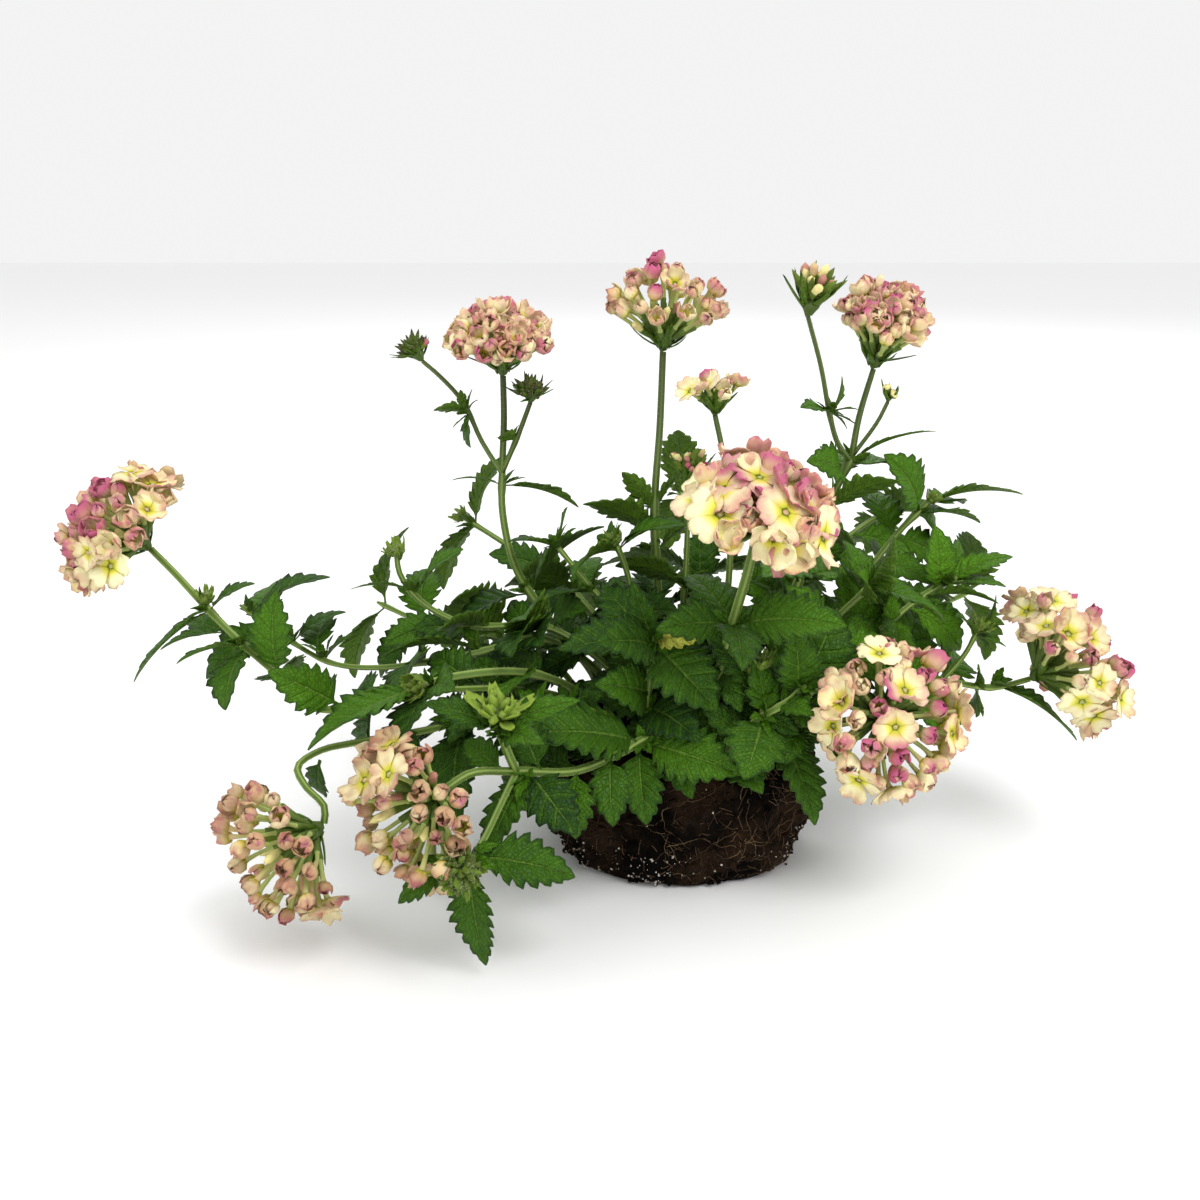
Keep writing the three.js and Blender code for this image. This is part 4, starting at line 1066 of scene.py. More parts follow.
@dataclass(frozen=True)
class Leaf:
    """A leaf's place: its midrib is an arc that starts at its root and bends down."""

    stem: str
    root: Array
    ahead: Array
    side: Array
    top: Array
    length: float
    half_width: float
    droop: float
    yellow: float = 0.0

    PETIOLE_SHARE = 0.13
    PETIOLE_HALF_WIDTH = 0.75
    BELLY = 0.72
    FULLNESS = 0.85
    FOLD = math.radians(16)
    ROOT_OFFSET = 0.45
    LIGHT_LEAN = 0.8
    PAIR_DROOP = math.radians(56)
    STEM_ANGLE = math.radians(58)
    WIDTH_RATIO = 0.31
    STEEP_DROOP, LEVEL_DROOP = 0.25, 0.75

    @classmethod
    def swell(cls, shares: Array) -> Array:
        """How wide the blade is along its length, as a share of its widest."""
        blade = np.clip((shares - cls.PETIOLE_SHARE) / (1 - cls.PETIOLE_SHARE), 0, 1)
        return np.maximum(np.sin(math.pi * blade ** cls.BELLY), 0) ** cls.FULLNESS

    @classmethod
    def side_of(cls, root: Array, ahead: Array, lean: Array | None = None) -> Array:
        """The sideways direction of a leaf whose face turns up to the light.

        Args:
            root: Where it leaves its stem.
            ahead: Which way it sets out.
            lean: Where its face turns besides up, or nothing for outward.

        Returns:
            The direction.
        """
        lean = unit(level(root)) * cls.LIGHT_LEAN if lean is None else lean
        side = np.cross(ahead, UP + lean)
        return unit(np.cross(ahead, RIGHT) if np.linalg.norm(side) < NEARLY_PARALLEL else side)

    @classmethod
    def make(cls, stem: str, root: Array, ahead: Array, length: float, half_width: float,
             droop: float = PAIR_DROOP, lean: Array | None = None) -> "Leaf":
        """A leaf that leaves its stem in a given direction.

        Args:
            stem: The name of its stem.
            root: Where it leaves its stem.
            ahead: Which way it sets out.
            length: Its length.
            half_width: Its half width.
            droop: How far it bends down, in radians.
            lean: Where its face turns besides up, or nothing for outward.

        Returns:
            The leaf.
        """
        side = cls.side_of(root, ahead, lean)
        return cls(stem, root + ahead * cls.ROOT_OFFSET, ahead, side, unit(np.cross(side, ahead)),
                   length, half_width, droop)

    @classmethod
    def to_tip(cls, stem: str, root: Array, tip: Array, half_width: float) -> "Leaf":
        """A leaf that reaches a given tip: it starts higher than the straight way, then bends.

        Args:
            stem: The name of its stem.
            root: Where it leaves its stem.
            tip: Where it ends.
            half_width: Its half width.

        Returns:
            The leaf.
        """
        chord, way = float(np.linalg.norm(tip - root)), unit(tip - root)
        droop = lerp(cls.STEEP_DROOP, cls.LEVEL_DROOP, float(np.linalg.norm(level(way))))
        ahead = turned(way, cls.side_of(root, way), droop / 2)
        length = chord * (droop / 2) / math.sin(droop / 2)
        return cls.make(stem, root, ahead, length, half_width, droop)

    @classmethod
    def of_pair(cls, stem: str, root: Array, along: Array, roll: float, length: float,
                lift: float, lean: Array | None) -> "Leaf":
        """One leaf of an opposite pair, on one side of its stem.

        Args:
            stem: The name of its stem.
            root: Where it leaves its stem.
            along: Which way the stem runs there.
            roll: How far round the stem it stands, in radians.
            length: Its length.
            lift: How much further up it points, or down.
            lean: Where its face turns besides up, or nothing for outward.

        Returns:
            The leaf.
        """
        across = np.cross(along, UP)
        across = unit(RIGHT if np.linalg.norm(across) < NEARLY_PARALLEL else across)
        ahead = (turned(across, along, roll) * math.sin(cls.STEM_ANGLE)
                 + along * math.cos(cls.STEM_ANGLE) + UP * lift)
        return cls.make(stem, root, unit(ahead), length, length * cls.WIDTH_RATIO, lean=lean)

    def rib(self, shares: Array) -> tuple[Array, Array]:
        """The midrib.

        Args:
            shares: How far along the blade.

        Returns:
            The points on it, and which way is up from the blade there.
        """
        bend = self.droop * shares[:, None]
        up = self.ahead * np.sin(bend) + self.top * np.cos(bend)
        return self.root + (up - self.top) * (self.length / self.droop), up


class Outline:
    """A leaf's middle surface in a few faces and lines, for telling what it would run into."""

    SHARES = np.array([0.12, 0.35, 0.58, 0.8, 1.0])
    TIP_HALF_WIDTH = 0.5
    LIFTS = np.array([-1.1, 0.0, 1.1])

    def __init__(self, leaf: Leaf) -> None:
        """Works out a leaf's rows of left edge, midrib and right edge.

        Args:
            leaf: The leaf.
        """
        self.leaf = leaf
        rib, up = leaf.rib(self.SHARES)
        widths = np.maximum(Leaf.PETIOLE_HALF_WIDTH,
                            leaf.half_width * Leaf.swell(self.SHARES))[:, None]
        widths[-1] = self.TIP_HALF_WIDTH
        rise, out = up * widths * math.sin(Leaf.FOLD), leaf.side * widths * math.cos(Leaf.FOLD)
        rows = np.stack([rib - out + rise, rib, rib + out + rise], 1)
        halves = (rows[:, ::2] + rib[:, None]) / 2
        self.centre = rib[len(rib) // 2]
        self.points = np.concatenate([rows.reshape(-1, 3), halves.reshape(-1, 3)])
        self.reach = float(np.linalg.norm(self.points - self.centre, axis=1).max())
        a, b, c, d = rows[:-1, :-1], rows[:-1, 1:], rows[1:, :-1], rows[1:, 1:]
        self.faces = np.stack([np.stack([a, b, c], -2), np.stack([c, b, d], -2)]).reshape(-1, 3, 3)
        raised = rows + up[:, None] * self.LIFTS[:, None, None, None]
        across, along = (raised[:, :, :-1], raised[:, :, 1:]), (raised[:, :-1], raised[:, 1:])
        self.lines = np.concatenate([
            np.stack(ends, -2).reshape(-1, 2, 3) for ends in (across, along)])


class Limb:
    """A branch in its place, as straight steps, with what grows on it."""

    STEP = 23
    TIP_SHARE = 0.97
    NEAREST_TRIES = 200

    def __init__(self, stem: str, branch: Branch, start: Sequence[float]) -> None:
        """Lays out a branch.

        Args:
            stem: The name of its stem.
            branch: The branch.
            start: Where it starts.
        """
        self.stem, self.branch = stem, branch
        self.route = Route([start, *branch.route[1:]])
        self.count = max(2, round(self.route.length / self.STEP))
        self.points = self.route.even(np.linspace(0, 1, self.count + 1))

    def at(self, share: float) -> tuple[Array, Array]:
        """A place on the steps.

        Args:
            share: How far along them it lies.

        Returns:
            The place, and which way the steps run there.
        """
        step = min(self.count - 1, int(share * self.count))
        along = self.points[step + 1] - self.points[step]
        return self.points[step] + along * (share * self.count - step), unit(along)

    def node(self, share: float) -> tuple[Array, Array]:
        """The same for where a leaf stands, which is never at the very tip."""
        return self.at(min(share, self.TIP_SHARE))

    def places(self, count: int) -> Array:
        """Where so many even steps along it lead, the first at its foot."""
        return np.array([self.at(i / count)[0] for i in range(count + 1)])

    def nearest(self, target: Point) -> Array:
        """The place on the steps that lies nearest to a point."""
        places = self.places(self.NEAREST_TRIES)
        return places[np.linalg.norm(places - np.array(target), axis=1).argmin()]


@dataclass(frozen=True)
class Zone:
    """How far from the middle, and how high up, smaller leaves grow, from some X onwards."""

    start: float
    reach: float
    top: float


class Planting:
    """Turns every leaf clear of the others, of the stems, the heads, the soil and the floor."""

    SAMPLE = 4
    BLADE_TO_STEM = 1.3
    NEAR_ROOT = 7
    SPARE = 2
    SOIL_MARGIN = 2
    SOIL_FALL = 9
    FLOOR = 1.4
    BLADE, STEM, HEAD, SOIL, ON_FLOOR = 1.0, 1.2, 1.5, 1.5, 2.0
    ROLLS = (0, 20, -20, 40, -40, 60, -60, 85, -85)
    LIFTS = (0, 0.3, -0.3)
    HALVES = (0, 180)
    TIP_REACHES = (0, 4, 8, 12)
    TIP_WAYS = 8
    TIP_NEARER = 0.5
    SHORTEST_LIMB = 45
    EXTRA_SHARES = (0.2, 0.32, 0.44, 0.56, 0.68, 0.8, 0.92)
    EXTRA_LENGTHS = (23, 36)
    EXTRA_ROLLS = (0, 40, -40)
    EXTRA_SIZES = (1, 0.62)
    EXTRA_LEAN = 0.4
    ZONES = (Zone(-math.inf, 192, 99), Zone(-130, 130, 78), Zone(-62, 98, 98), Zone(62, 128, 150))
    WITHERED = ("stem_centre_front", np.array([-13.0, -34, 97]), np.array([6.0, -44, 104]), 6.5)

    def __init__(self, limbs: list[Limb]) -> None:
        """Takes in what the leaves have to stay clear of.

        Args:
            limbs: Every branch in its place.
        """
        self.limbs = limbs
        rows = [limb.places(math.ceil(limb.route.length / self.SAMPLE)) for limb in limbs]
        self.spots = np.concatenate(rows)
        self.owners = np.repeat(np.arange(len(rows)), [len(row) for row in rows])
        self.spans = np.concatenate([np.stack([row[:-1], row[1:]], 1) for row in rows])
        self.span_owners = np.repeat(np.arange(len(rows)), [len(row) - 1 for row in rows])
        self.radii = np.array([sum(limb.branch.radii) / 2 for limb in limbs])
        self.stems = np.array([limb.stem for limb in limbs])
        self.balls = []
        for limb in limbs:
            if head := limb.branch.head:
                seat = HeadFrame.of(head, limb.points[-1])
                self.balls.append((seat.base + seat.axis * head.height / 2,
                                   max(head.width, head.height) / 2 + 1))
        self.placed: list[Outline] = []

    def blades_met(self, shape: Outline) -> int:
        """How many placed blades a shape crosses.

        Args:
            shape: The shape.

        Returns:
            The count.
        """
        near = [other for other in self.placed if
                np.linalg.norm(other.centre - shape.centre)
                <= other.reach + shape.reach + self.SPARE]
        if not near:
            return 0
        mine = crossings(shape.lines, np.concatenate([other.faces for other in near])).any(0)
        theirs = crossings(np.concatenate([other.lines for other in near]), shape.faces).any(1)
        return sum(cut.any() or cuts.any() for cut, cuts in
                   zip(mine.reshape(len(near), -1), theirs.reshape(len(near), -1)))

    def at_root(self, leaf: Leaf, owners: Array, places: Array) -> Array:
        """Which places on the branches are a leaf's own stem, near its root."""
        near = np.linalg.norm(places - leaf.root, axis=1) < self.NEAR_ROOT
        return near & (self.stems[owners] == leaf.stem)

    def stems_met(self, shape: Outline) -> int:
        """How many branches a shape crosses or comes too near to, away from its own root.

        Args:
            shape: The shape.

        Returns:
            The count.
        """
        gaps = np.linalg.norm(self.spots[:, None] - shape.points, axis=2).min(1)
        close = ((gaps < self.radii[self.owners] + self.BLADE_TO_STEM)
                 & ~self.at_root(shape.leaf, self.owners, self.spots))
        starts = self.spans[:, 0]
        near = ((np.linalg.norm(starts - shape.centre, axis=1) < shape.reach + 2 * self.SAMPLE)
                & ~self.at_root(shape.leaf, self.span_owners, starts))
        through = crossings(self.spans[near], shape.faces).any(1)
        return len({*self.owners[close], *self.span_owners[near][through]})

    def hits(self, shape: Outline) -> float:
        """Counts what a blade would run into.

        Args:
            shape: The blade's outline.

        Returns:
            The count, in which some things weigh more than others.
        """
        x, y, z = shape.points.T
        heads = sum(bool((np.linalg.norm(shape.points - middle, axis=1) < size).any())
                    for middle, size in self.balls)
        across = np.hypot(x, y / RootBall.depth_ratio)
        fall = self.SOIL_FALL * (across / RootBall.top_radius) ** 3
        in_soil = ((across < RootBall.top_radius + self.SOIL_MARGIN)
                   & (z < RootBall.height + self.SOIL_MARGIN - fall)).any()
        return (self.blades_met(shape) * self.BLADE + self.stems_met(shape) * self.STEM
                + heads * self.HEAD + in_soil * self.SOIL + (z < self.FLOOR).any() * self.ON_FLOOR)

    def place(self, tries: Iterator[Leaf], most: float = math.inf) -> bool:
        """Places the first of some tries that runs into nothing, or else the one that does least.

        Args:
            tries: The tries.
            most: How much it may run into.

        Returns:
            Whether it may.
        """
        best, fewest = None, math.inf
        for leaf in tries:
            shape = Outline(leaf)
            hits = self.hits(shape)
            if hits < fewest:
                best, fewest = shape, hits
            if not hits:
                break
        if fewest <= most:
            self.placed.append(best)
        return fewest <= most

    @classmethod
    def to_tip(cls, stem: str, root: Array, tip: Array, half_width: float) -> Iterator[Leaf]:
        """Leaves towards a tip, and towards places ever further round it, turned to the viewer.

        Args:
            stem: The name of their stem.
            root: Where they leave it.
            tip: The tip.
            half_width: Their half width.

        Yields:
            The leaves.
        """
        for reach in cls.TIP_REACHES:
            for k in range(cls.TIP_WAYS if reach else 1):
                way = math.pi * (2 * k / cls.TIP_WAYS + 0.5)
                nearer = FORWARD * cls.TIP_NEARER * abs(math.cos(way))
                aim = tip + (around(RIGHT, UP, way) - nearer) * reach
                yield Leaf.to_tip(stem, root, aim, half_width)

    @classmethod
    def of_pair(cls, stem: str, place: tuple[Array, Array], roll: float, length: float,
                rolls: tuple[int, ...] = ROLLS, lean: Array | None = None) -> Iterator[Leaf]:
        """Leaves of a pair, ever further round the stem, then raised and lowered."""
        return (Leaf.of_pair(stem, *place, math.radians(roll + turn), length, lift, lean)
                for lift in cls.LIFTS for turn in rolls)

    def grow(self) -> list[Leaf]:
        """Places the part's own leaves: those that lie by themselves first, then the pairs.

        Returns:
            The leaves.
        """
        for limb in self.limbs:
            for share, *tip, half_width in limb.branch.leaves:
                self.place(self.to_tip(limb.stem, limb.node(share)[0], np.array(tip), half_width))
        for limb in self.limbs:
            for share, length, roll in limb.branch.pairs:
                for half in self.HALVES:
                    self.place(self.of_pair(limb.stem, limb.node(share), roll + half, length))
        return [shape.leaf for shape in self.placed]

    def wither(self) -> list[Leaf]:
        """Places the one leaf that has turned yellow."""
        self.place(self.to_tip(*self.WITHERED))
        return [replace(self.placed[-1].leaf, yellow=1.0)]

    def leafy(self, point: Array) -> bool:
        """Whether smaller leaves grow at a point."""
        zone = [zone for zone in self.ZONES if zone.start <= point[0]][-1]
        return math.hypot(point[0], point[1]) < zone.reach and point[2] < zone.top

    def thicken(self, rng: Random) -> list[Leaf]:
        """Adds smaller leaves in the crown where there is room, from the nodes between the others.

        Args:
            rng: The seeded draw.

        Returns:
            The added leaves.
        """
        before = len(self.placed)
        long = [limb for limb in self.limbs if limb.route.length >= self.SHORTEST_LIMB]
        for limb, share in ((limb, share) for limb in long for share in self.EXTRA_SHARES):
            roll, length = rng.uniform(0, 180), rng.uniform(*self.EXTRA_LENGTHS)
            place = limb.at(share)
            if not self.leafy(place[0]):
                continue
            lean = unit(level(place[0])) * self.EXTRA_LEAN - FORWARD
            for half in self.HALVES:
                for size in self.EXTRA_SIZES:
                    tries = self.of_pair(limb.stem, place, roll + half, length * size,
                                         self.EXTRA_ROLLS, lean)
                    if self.place(tries, most=0):
                        break
        return [shape.leaf for shape in self.placed[before:]]


# Blades, florets and buds

def sheet_grain(along: Array, across: Array) -> Array:
    """A sheet's grain: along, across, then 0 on its upper face and 1 on its lower."""
    face = np.stack(np.broadcast_arrays(along, across, 0.0), -1).reshape(-1, 3)
    return np.concatenate([face, face + UP])


def climb(heights: Array) -> Array:
    """How far up a globe of radius 1 its heights lie, from 0 to 1 in even steps of its rings."""
    return np.arccos(np.clip(-heights, -1, 1)) / math.pi


class LeafBlank:
    """A toothed blade, flat and of a nominal size, with its veins sunk in."""

    LENGTH = 40.0
    HALF_WIDTH = 12.0
    THICKNESS = 0.42
    BLADE_START = 0.14
    VEIN_SLANT = 1.8
    VEIN_BEND = 1.2
    STEPS = (0.0, 0.38, 0.86, 0.93)
    CUTS = (0.75, 0.95, 1.07, 0.84)
    RELIEF = (0.42, 0.12, -0.62, 0.1)
    PETIOLE_ROWS = (0.0, 0.05, 0.1)
    FINEST_TIP = 0.012
    PUFF = 1.15
    PUFF_REACH, PUFF_FULLNESS = 1.04, 0.7
    EDGE_ROLL = 0.7
    RIB_DEPTH = 0.25

    def __init__(self, teeth: int, across: Sequence[float]) -> None:
        """Models the blank.

        Args:
            teeth: How many teeth it has a side.
            across: Where its columns lie between midrib and edge, 0 and 1 among them.
        """
        rows = [(share, share, 1.0, 0.0, 0.0) for share in self.PETIOLE_ROWS]
        for tooth in range(teeth):
            for k, (step, cut, relief) in enumerate(zip(self.STEPS, self.CUTS, self.RELIEF)):
                phase = tooth + k / len(self.STEPS)
                rib, edge = (lerp(self.BLADE_START, 1, share) for share in
                             ((phase / teeth) ** self.VEIN_SLANT, (tooth + step) / teeth))
                rows.append((rib, edge, cut if phase else 1.0, relief, phase))
        rows.append((1.0, 1.0, 0.0, 0.0, teeth))
        columns = np.array([*(-np.array(across)[:0:-1]), *across])[:, None]
        rib, edge, cut, relief, phase = np.array(rows).T[:, None]
        reach = np.abs(columns)
        share = lerp(rib, edge, reach ** self.VEIN_BEND)
        width = np.maximum(Leaf.swell(edge), Leaf.PETIOLE_HALF_WIDTH / self.HALF_WIDTH) * cut
        y = columns * np.maximum(width, self.FINEST_TIP) * self.HALF_WIDTH
        window = np.sin(math.pi * np.minimum(reach * self.PUFF_REACH, 1)) ** self.PUFF_FULLNESS
        window = window * np.minimum(width, 1)
        z = (relief * window * self.PUFF - self.EDGE_ROLL * reach ** 3 * width
             - self.RIB_DEPTH * (reach == 0) * np.minimum(width * 2, 1))
        self.stock = Bench.sheet(np.stack([share * self.LENGTH, y, z], -1), self.THICKNESS)
        self.grain = sheet_grain(phase, columns)


class Foliage:
    """Lays blades along their leaves."""

    FINE, PLAIN, SMALL = (0.0, 0.08, 0.4, 0.72, 1.0), (0.0, 0.4, 1.0), (0.0, 0.5, 1.0)
    LONG = 29
    SHORT = 15
    TOOTH_PITCH = 5.3
    WAVE = 0.13
    WAVES = 1.3
    TWIST = 0.3
    SWAY = 0.05
    COUNT_SPREAD = (-0.4, 0.6)
    WIDENING = (0.05, 0.24)
    RELIEF_SPARE, RELIEFS = 0.15, (0.45, 1.15)
    TINT_SPREAD = 0.16
    TUFT = 4
    TUFT_WIDTH = 0.24
    TUFT_FRESHNESS = 0.75
    TUFT_LEANS = (0.35, 0.8)
    TUFT_LENGTHS = (0.6, 1.0)
    TUFT_DROOPS = (0.3, 1.0)

    def __init__(self, rng: Random) -> None:
        """Models the blanks of the blades.

        Args:
            rng: The seeded draw.
        """
        self.rng = rng
        self.fine, self.plain, self.small = (
            {teeth: LeafBlank(teeth, across) for teeth in counts} for across, counts in
            ((self.FINE, (6, 7, 8, 9)), (self.PLAIN, (4, 5, 6)), (self.SMALL, (3,))))

    def lay(self, bunch: Bunch, leaf: Leaf, lit_and_young: float) -> None:
        """Adds a blade to a bunch.

        Args:
            bunch: Where it goes.
            leaf: Its place.
            lit_and_young: How bright its green is.
        """
        teeth = round(leaf.length / self.TOOTH_PITCH + self.rng.uniform(*self.COUNT_SPREAD))
        grade = self.plain if leaf.length >= self.SHORT else self.small
        grade = self.fine if leaf.length >= self.LONG else grade
        blank = grade[min(max(teeth, min(grade)), max(grade))]
        x, y, z = blank.stock.places.T
        share = np.clip(x / LeafBlank.LENGTH, 0, 1.02)
        breadth = leaf.half_width / LeafBlank.HALF_WIDTH
        y = y * lerp(1, breadth, smooth(share, *self.WIDENING))
        z = z * np.clip(breadth + self.RELIEF_SPARE, *self.RELIEFS)
        rib, up = leaf.rib(share)
        starts = self.rng.uniform(0, FULL_TURN, 2)
        wave = np.sin(FULL_TURN * self.WAVES * share + np.where(y > 0, *starts))
        reach = np.minimum(np.abs(y) / leaf.half_width, 1)
        lift = (np.abs(y) * math.sin(Leaf.FOLD) + z
                + wave * self.WAVE * leaf.half_width * reach ** 2)
        turn = self.rng.uniform(-1, 1) * self.TWIST * share
        out = y * math.cos(Leaf.FOLD)
        sway = self.rng.uniform(-self.SWAY, self.SWAY) * leaf.length * share ** 2
        aside = out * np.cos(turn) - lift * np.sin(turn) + sway
        height = out * np.sin(turn) + lift * np.cos(turn)
        places = rib - leaf.side * aside[:, None] + up * height[:, None]
        # How bright the green is carries painted light and shade from where the leaf stands, with
        # its young growth, plus a random spread.
        lit_and_young = held(lit_and_young + self.rng.normal(0, self.TINT_SPREAD))
        tint = (lit_and_young, leaf.yellow, self.rng.uniform(0, 1))
        bunch.add(blank.stock, places, Skin.LEAF, tint, blank.grain)

    def tuft(self, bunch: Bunch, root: Array, along: Array, size: float) -> None:
        """Adds the small young leaves that stand in a leaf's axil.

        Args:
            bunch: Where they go.
            root: The axil.
            along: Which way the tuft points.
            size: The length of its longest leaf.
        """
        start = self.rng.uniform(0, FULL_TURN)
        for k in range(self.TUFT):
            outward = around(*square_to(along), start + k * GOLDEN_ANGLE)
            ahead = unit(along + outward * self.rng.uniform(*self.TUFT_LEANS))
            length = size * self.rng.uniform(*self.TUFT_LENGTHS)
            leaf = Leaf.make("", root, ahead, length, length * self.TUFT_WIDTH,
                             self.rng.uniform(*self.TUFT_DROOPS))
            self.lay(bunch, leaf, self.TUFT_FRESHNESS)


@dataclass(frozen=True)
class HeadFrame:
    """A head's axis, two ways across it, and its foot."""

    axis: Array
    across: Array
    other: Array
    base: Array

    GAP = 0.35

    @classmethod
    def of(cls, head: Head, tip: Array) -> "HeadFrame":
        """The frame of a plain head at the tip of its branch."""
        axis = unit(np.array(head.axis, float))
        return cls(axis, *square_to(axis), tip + axis * cls.GAP)

    def out(self, turn: Array | float) -> Array:
        """The way out from its axis at an angle."""
        return around(self.across, self.other, turn)

    def up(self, height: float) -> Array:
        """The place so high up its axis."""
        return self.base + self.axis * height


@dataclass(frozen=True)
class Spot:
    """A floret's or a bud's place in its head."""

    point: Array
    facing: Array
    root: Array
    crown: float


@dataclass(frozen=True)
class Collar:
    """Bracts round a seat: how many, how long, half as wide, how far they lean out, how pale and
    hairy they are, and how far they curl up."""

    count: int
    length: tuple[float, float]
    half_width: float
    lean: float
    pale: float = 0.0
    hair: float = 0.0
    curl: tuple[float, float] = (0.1, 0.8)


SHORT_BRACTS = (Collar(10, (6, 10), 1.1, 0.75), Collar(8, (9, 13), 1.3, 1.1))
LONG_BRACTS = (Collar(9, (10, 14), 1.25, 0.6), Collar(9, (9, 13), 1.15, 1.15))
STEEP_BRACTS = (Collar(9, (8, 12), 1.5, 0.62), Collar(5, (7, 10), 1.1, 0.95))


@dataclass(frozen=True)
class Show:
    """What the florets of a head are like. A pair is a value at its crown and at its rim, or the
    lowest and the highest of a draw. Closed goes from 0, flat, to 1, a knob. Kept is how much of
    its magenta a floret still has when it opens."""

    count: int
    radius: float
    open_share: tuple[float, float]
    open_closed: tuple[float, float]
    shut_closed: tuple[float, float]
    magenta: tuple[float, float]
    blush: tuple[float, float]
    dusk: float
    spent_share: float = 0.0
    seat: float = 1.0
    collars: tuple[Collar, ...] = SHORT_BRACTS
    kept: float = 0.45


SHOWS = {
    Bloom.FRESH: Show(29, 10.4, (0.3, 0.7), (0.0, 0.3), (0.4, 0.8), (1.0, 0.15), (0.05, 0.7), 0.1,
                      kept=0.7),
    Bloom.RING: Show(44, 9.2, (0.35, 0.45), (0.1, 0.42), (0.7, 0.92), (0.8, 0.0), (0.1, 0.7), 0.05,
                     kept=0.6),
    Bloom.HALF: Show(46, 8.7, (0.05, 0.6), (0.0, 0.35), (0.55, 0.95), (1.0, 0.05), (0.1, 0.7), 0.22,
                     0.1),
    Bloom.KNOBS: Show(54, 8.2, (0.12, 0.02), (0.35, 0.55), (0.6, 1.0), (0.6, 0.15), (0.0, 0.7),
                      0.08, 0.06, collars=LONG_BRACTS),
    Bloom.FANNED: Show(40, 8.0, (0.0, 0.03), (0.3, 0.5), (0.6, 1.0), (0.6, 0.05), (0.1, 0.85),
                       0.15, 0.1, collars=LONG_BRACTS),
    Bloom.LOOSE: Show(50, 8.4, (0.0, 0.08), (0.05, 0.4), (0.74, 1.0), (0.3, 0.1), (0.2, 1.0),
                      0.7, 0.14),
    Bloom.OPENING: Show(9, 6.8, (0.0, 0.6), (0.25, 0.45), (0.6, 0.95), (1.0, 0.0), (0.0, 0.3),
                        0.0, 0.2, 0.8, STEEP_BRACTS),
}


@dataclass(frozen=True)
class Cluster:
    """What the closed buds of a head are like. A radius, and the sizes of its collars, are shares
    of the head's width. Reach is how far a bud goes to the head's outline, and swell how much
    fatter it is where its petals show. Shades tells which petals they are."""

    count: int
    radius: float
    reach: tuple[float, float]
    dusk: tuple[float, float]
    pale: float
    hair: float
    hairs: int
    collars: tuple[Collar, ...]
    swell: float = 1.6
    shades: tuple[float, float] = (0.0, 1.0)


CLUSTERS = {
    Bloom.BUDS: Cluster(30, 0.054, (0.78, 1.15), (0.5, 1.0), 0.15, 0.9, 12,
                        (Collar(12, (0.32, 0.5), 0.045, 1.25),)),
    Bloom.FUZZY: Cluster(34, 0.06, (0.8, 1.12), (0.1, 0.6), 0.3, 2.2, 14,
                         (Collar(12, (0.35, 0.5), 0.06, 1.1, 0.3, 1.7),)),
    Bloom.STAR: Cluster(12, 0.07, (0.6, 0.85), (0.0, 0.1), 0.8, 1.3, 16,
                        (Collar(7, (0.4, 0.5), 0.1, 1.2, 0.9, 1.2, (0.0, 0.4)),
                         Collar(6, (0.26, 0.38), 0.085, 0.6, 1.0, 1.2))),
    Bloom.LONE: Cluster(3, 0.24, (1.1, 1.4), (0.0, 0.1), 0.5, 0.9, 10,
                        (Collar(6, (0.5, 0.75), 0.12, 0.7),), 1.0, (0.0, 0.2)),
    Bloom.CANDLES: Cluster(20, 0.06, (0.9, 1.35), (0.0, 0.5), 0.3, 0.9, 10,
                           (Collar(10, (0.4, 0.62), 0.06, 0.9),), 1.2, (0.0, 0.7)),
    Bloom.SHOOT: Cluster(14, 0.12, (0.8, 1.1), (0.0, 0.4), 0.45, 1.2, 14,
                         (Collar(10, (0.5, 0.85), 0.12, 0.9, 0.45, 1.0),)),
}


class FloretBlank:
    """A floret's lobe, flat and of radius 1: narrow at the eye, broad and notched at its end."""

    EYE = 0.1
    THICKNESS = 0.035
    NOTCH_WIDTH = 0.28
    CREASE_WIDTH = 0.22

    def __init__(self, along: int, across: int) -> None:
        """Models the lobe.

        Args:
            along: How many faces it has from the eye out.
            across: How many faces it has from side to side.
        """
        u, v = np.meshgrid(np.linspace(0, 1, along + 1), np.linspace(-1, 1, across + 1))
        notch = np.exp(-(v / self.NOTCH_WIDTH) ** 2)
        crease = np.exp(-(v / self.CREASE_WIDTH) ** 2)
        reach = lerp(self.EYE, 1, u) - u ** 3 * (0.17 * notch + 0.18 * v ** 2)
        width = 0.1 + 0.41 * smooth(u, 0, 0.6) - 0.03 * smooth(u, 0.8, 1)
        cup = 0.05 * v ** 2 * u - 0.03 * u - 0.035 * crease * u ** 2
        self.stock = Bench.sheet(np.stack([reach, v * width, cup], -1), self.THICKNESS)
        self.grain = sheet_grain(u, v)


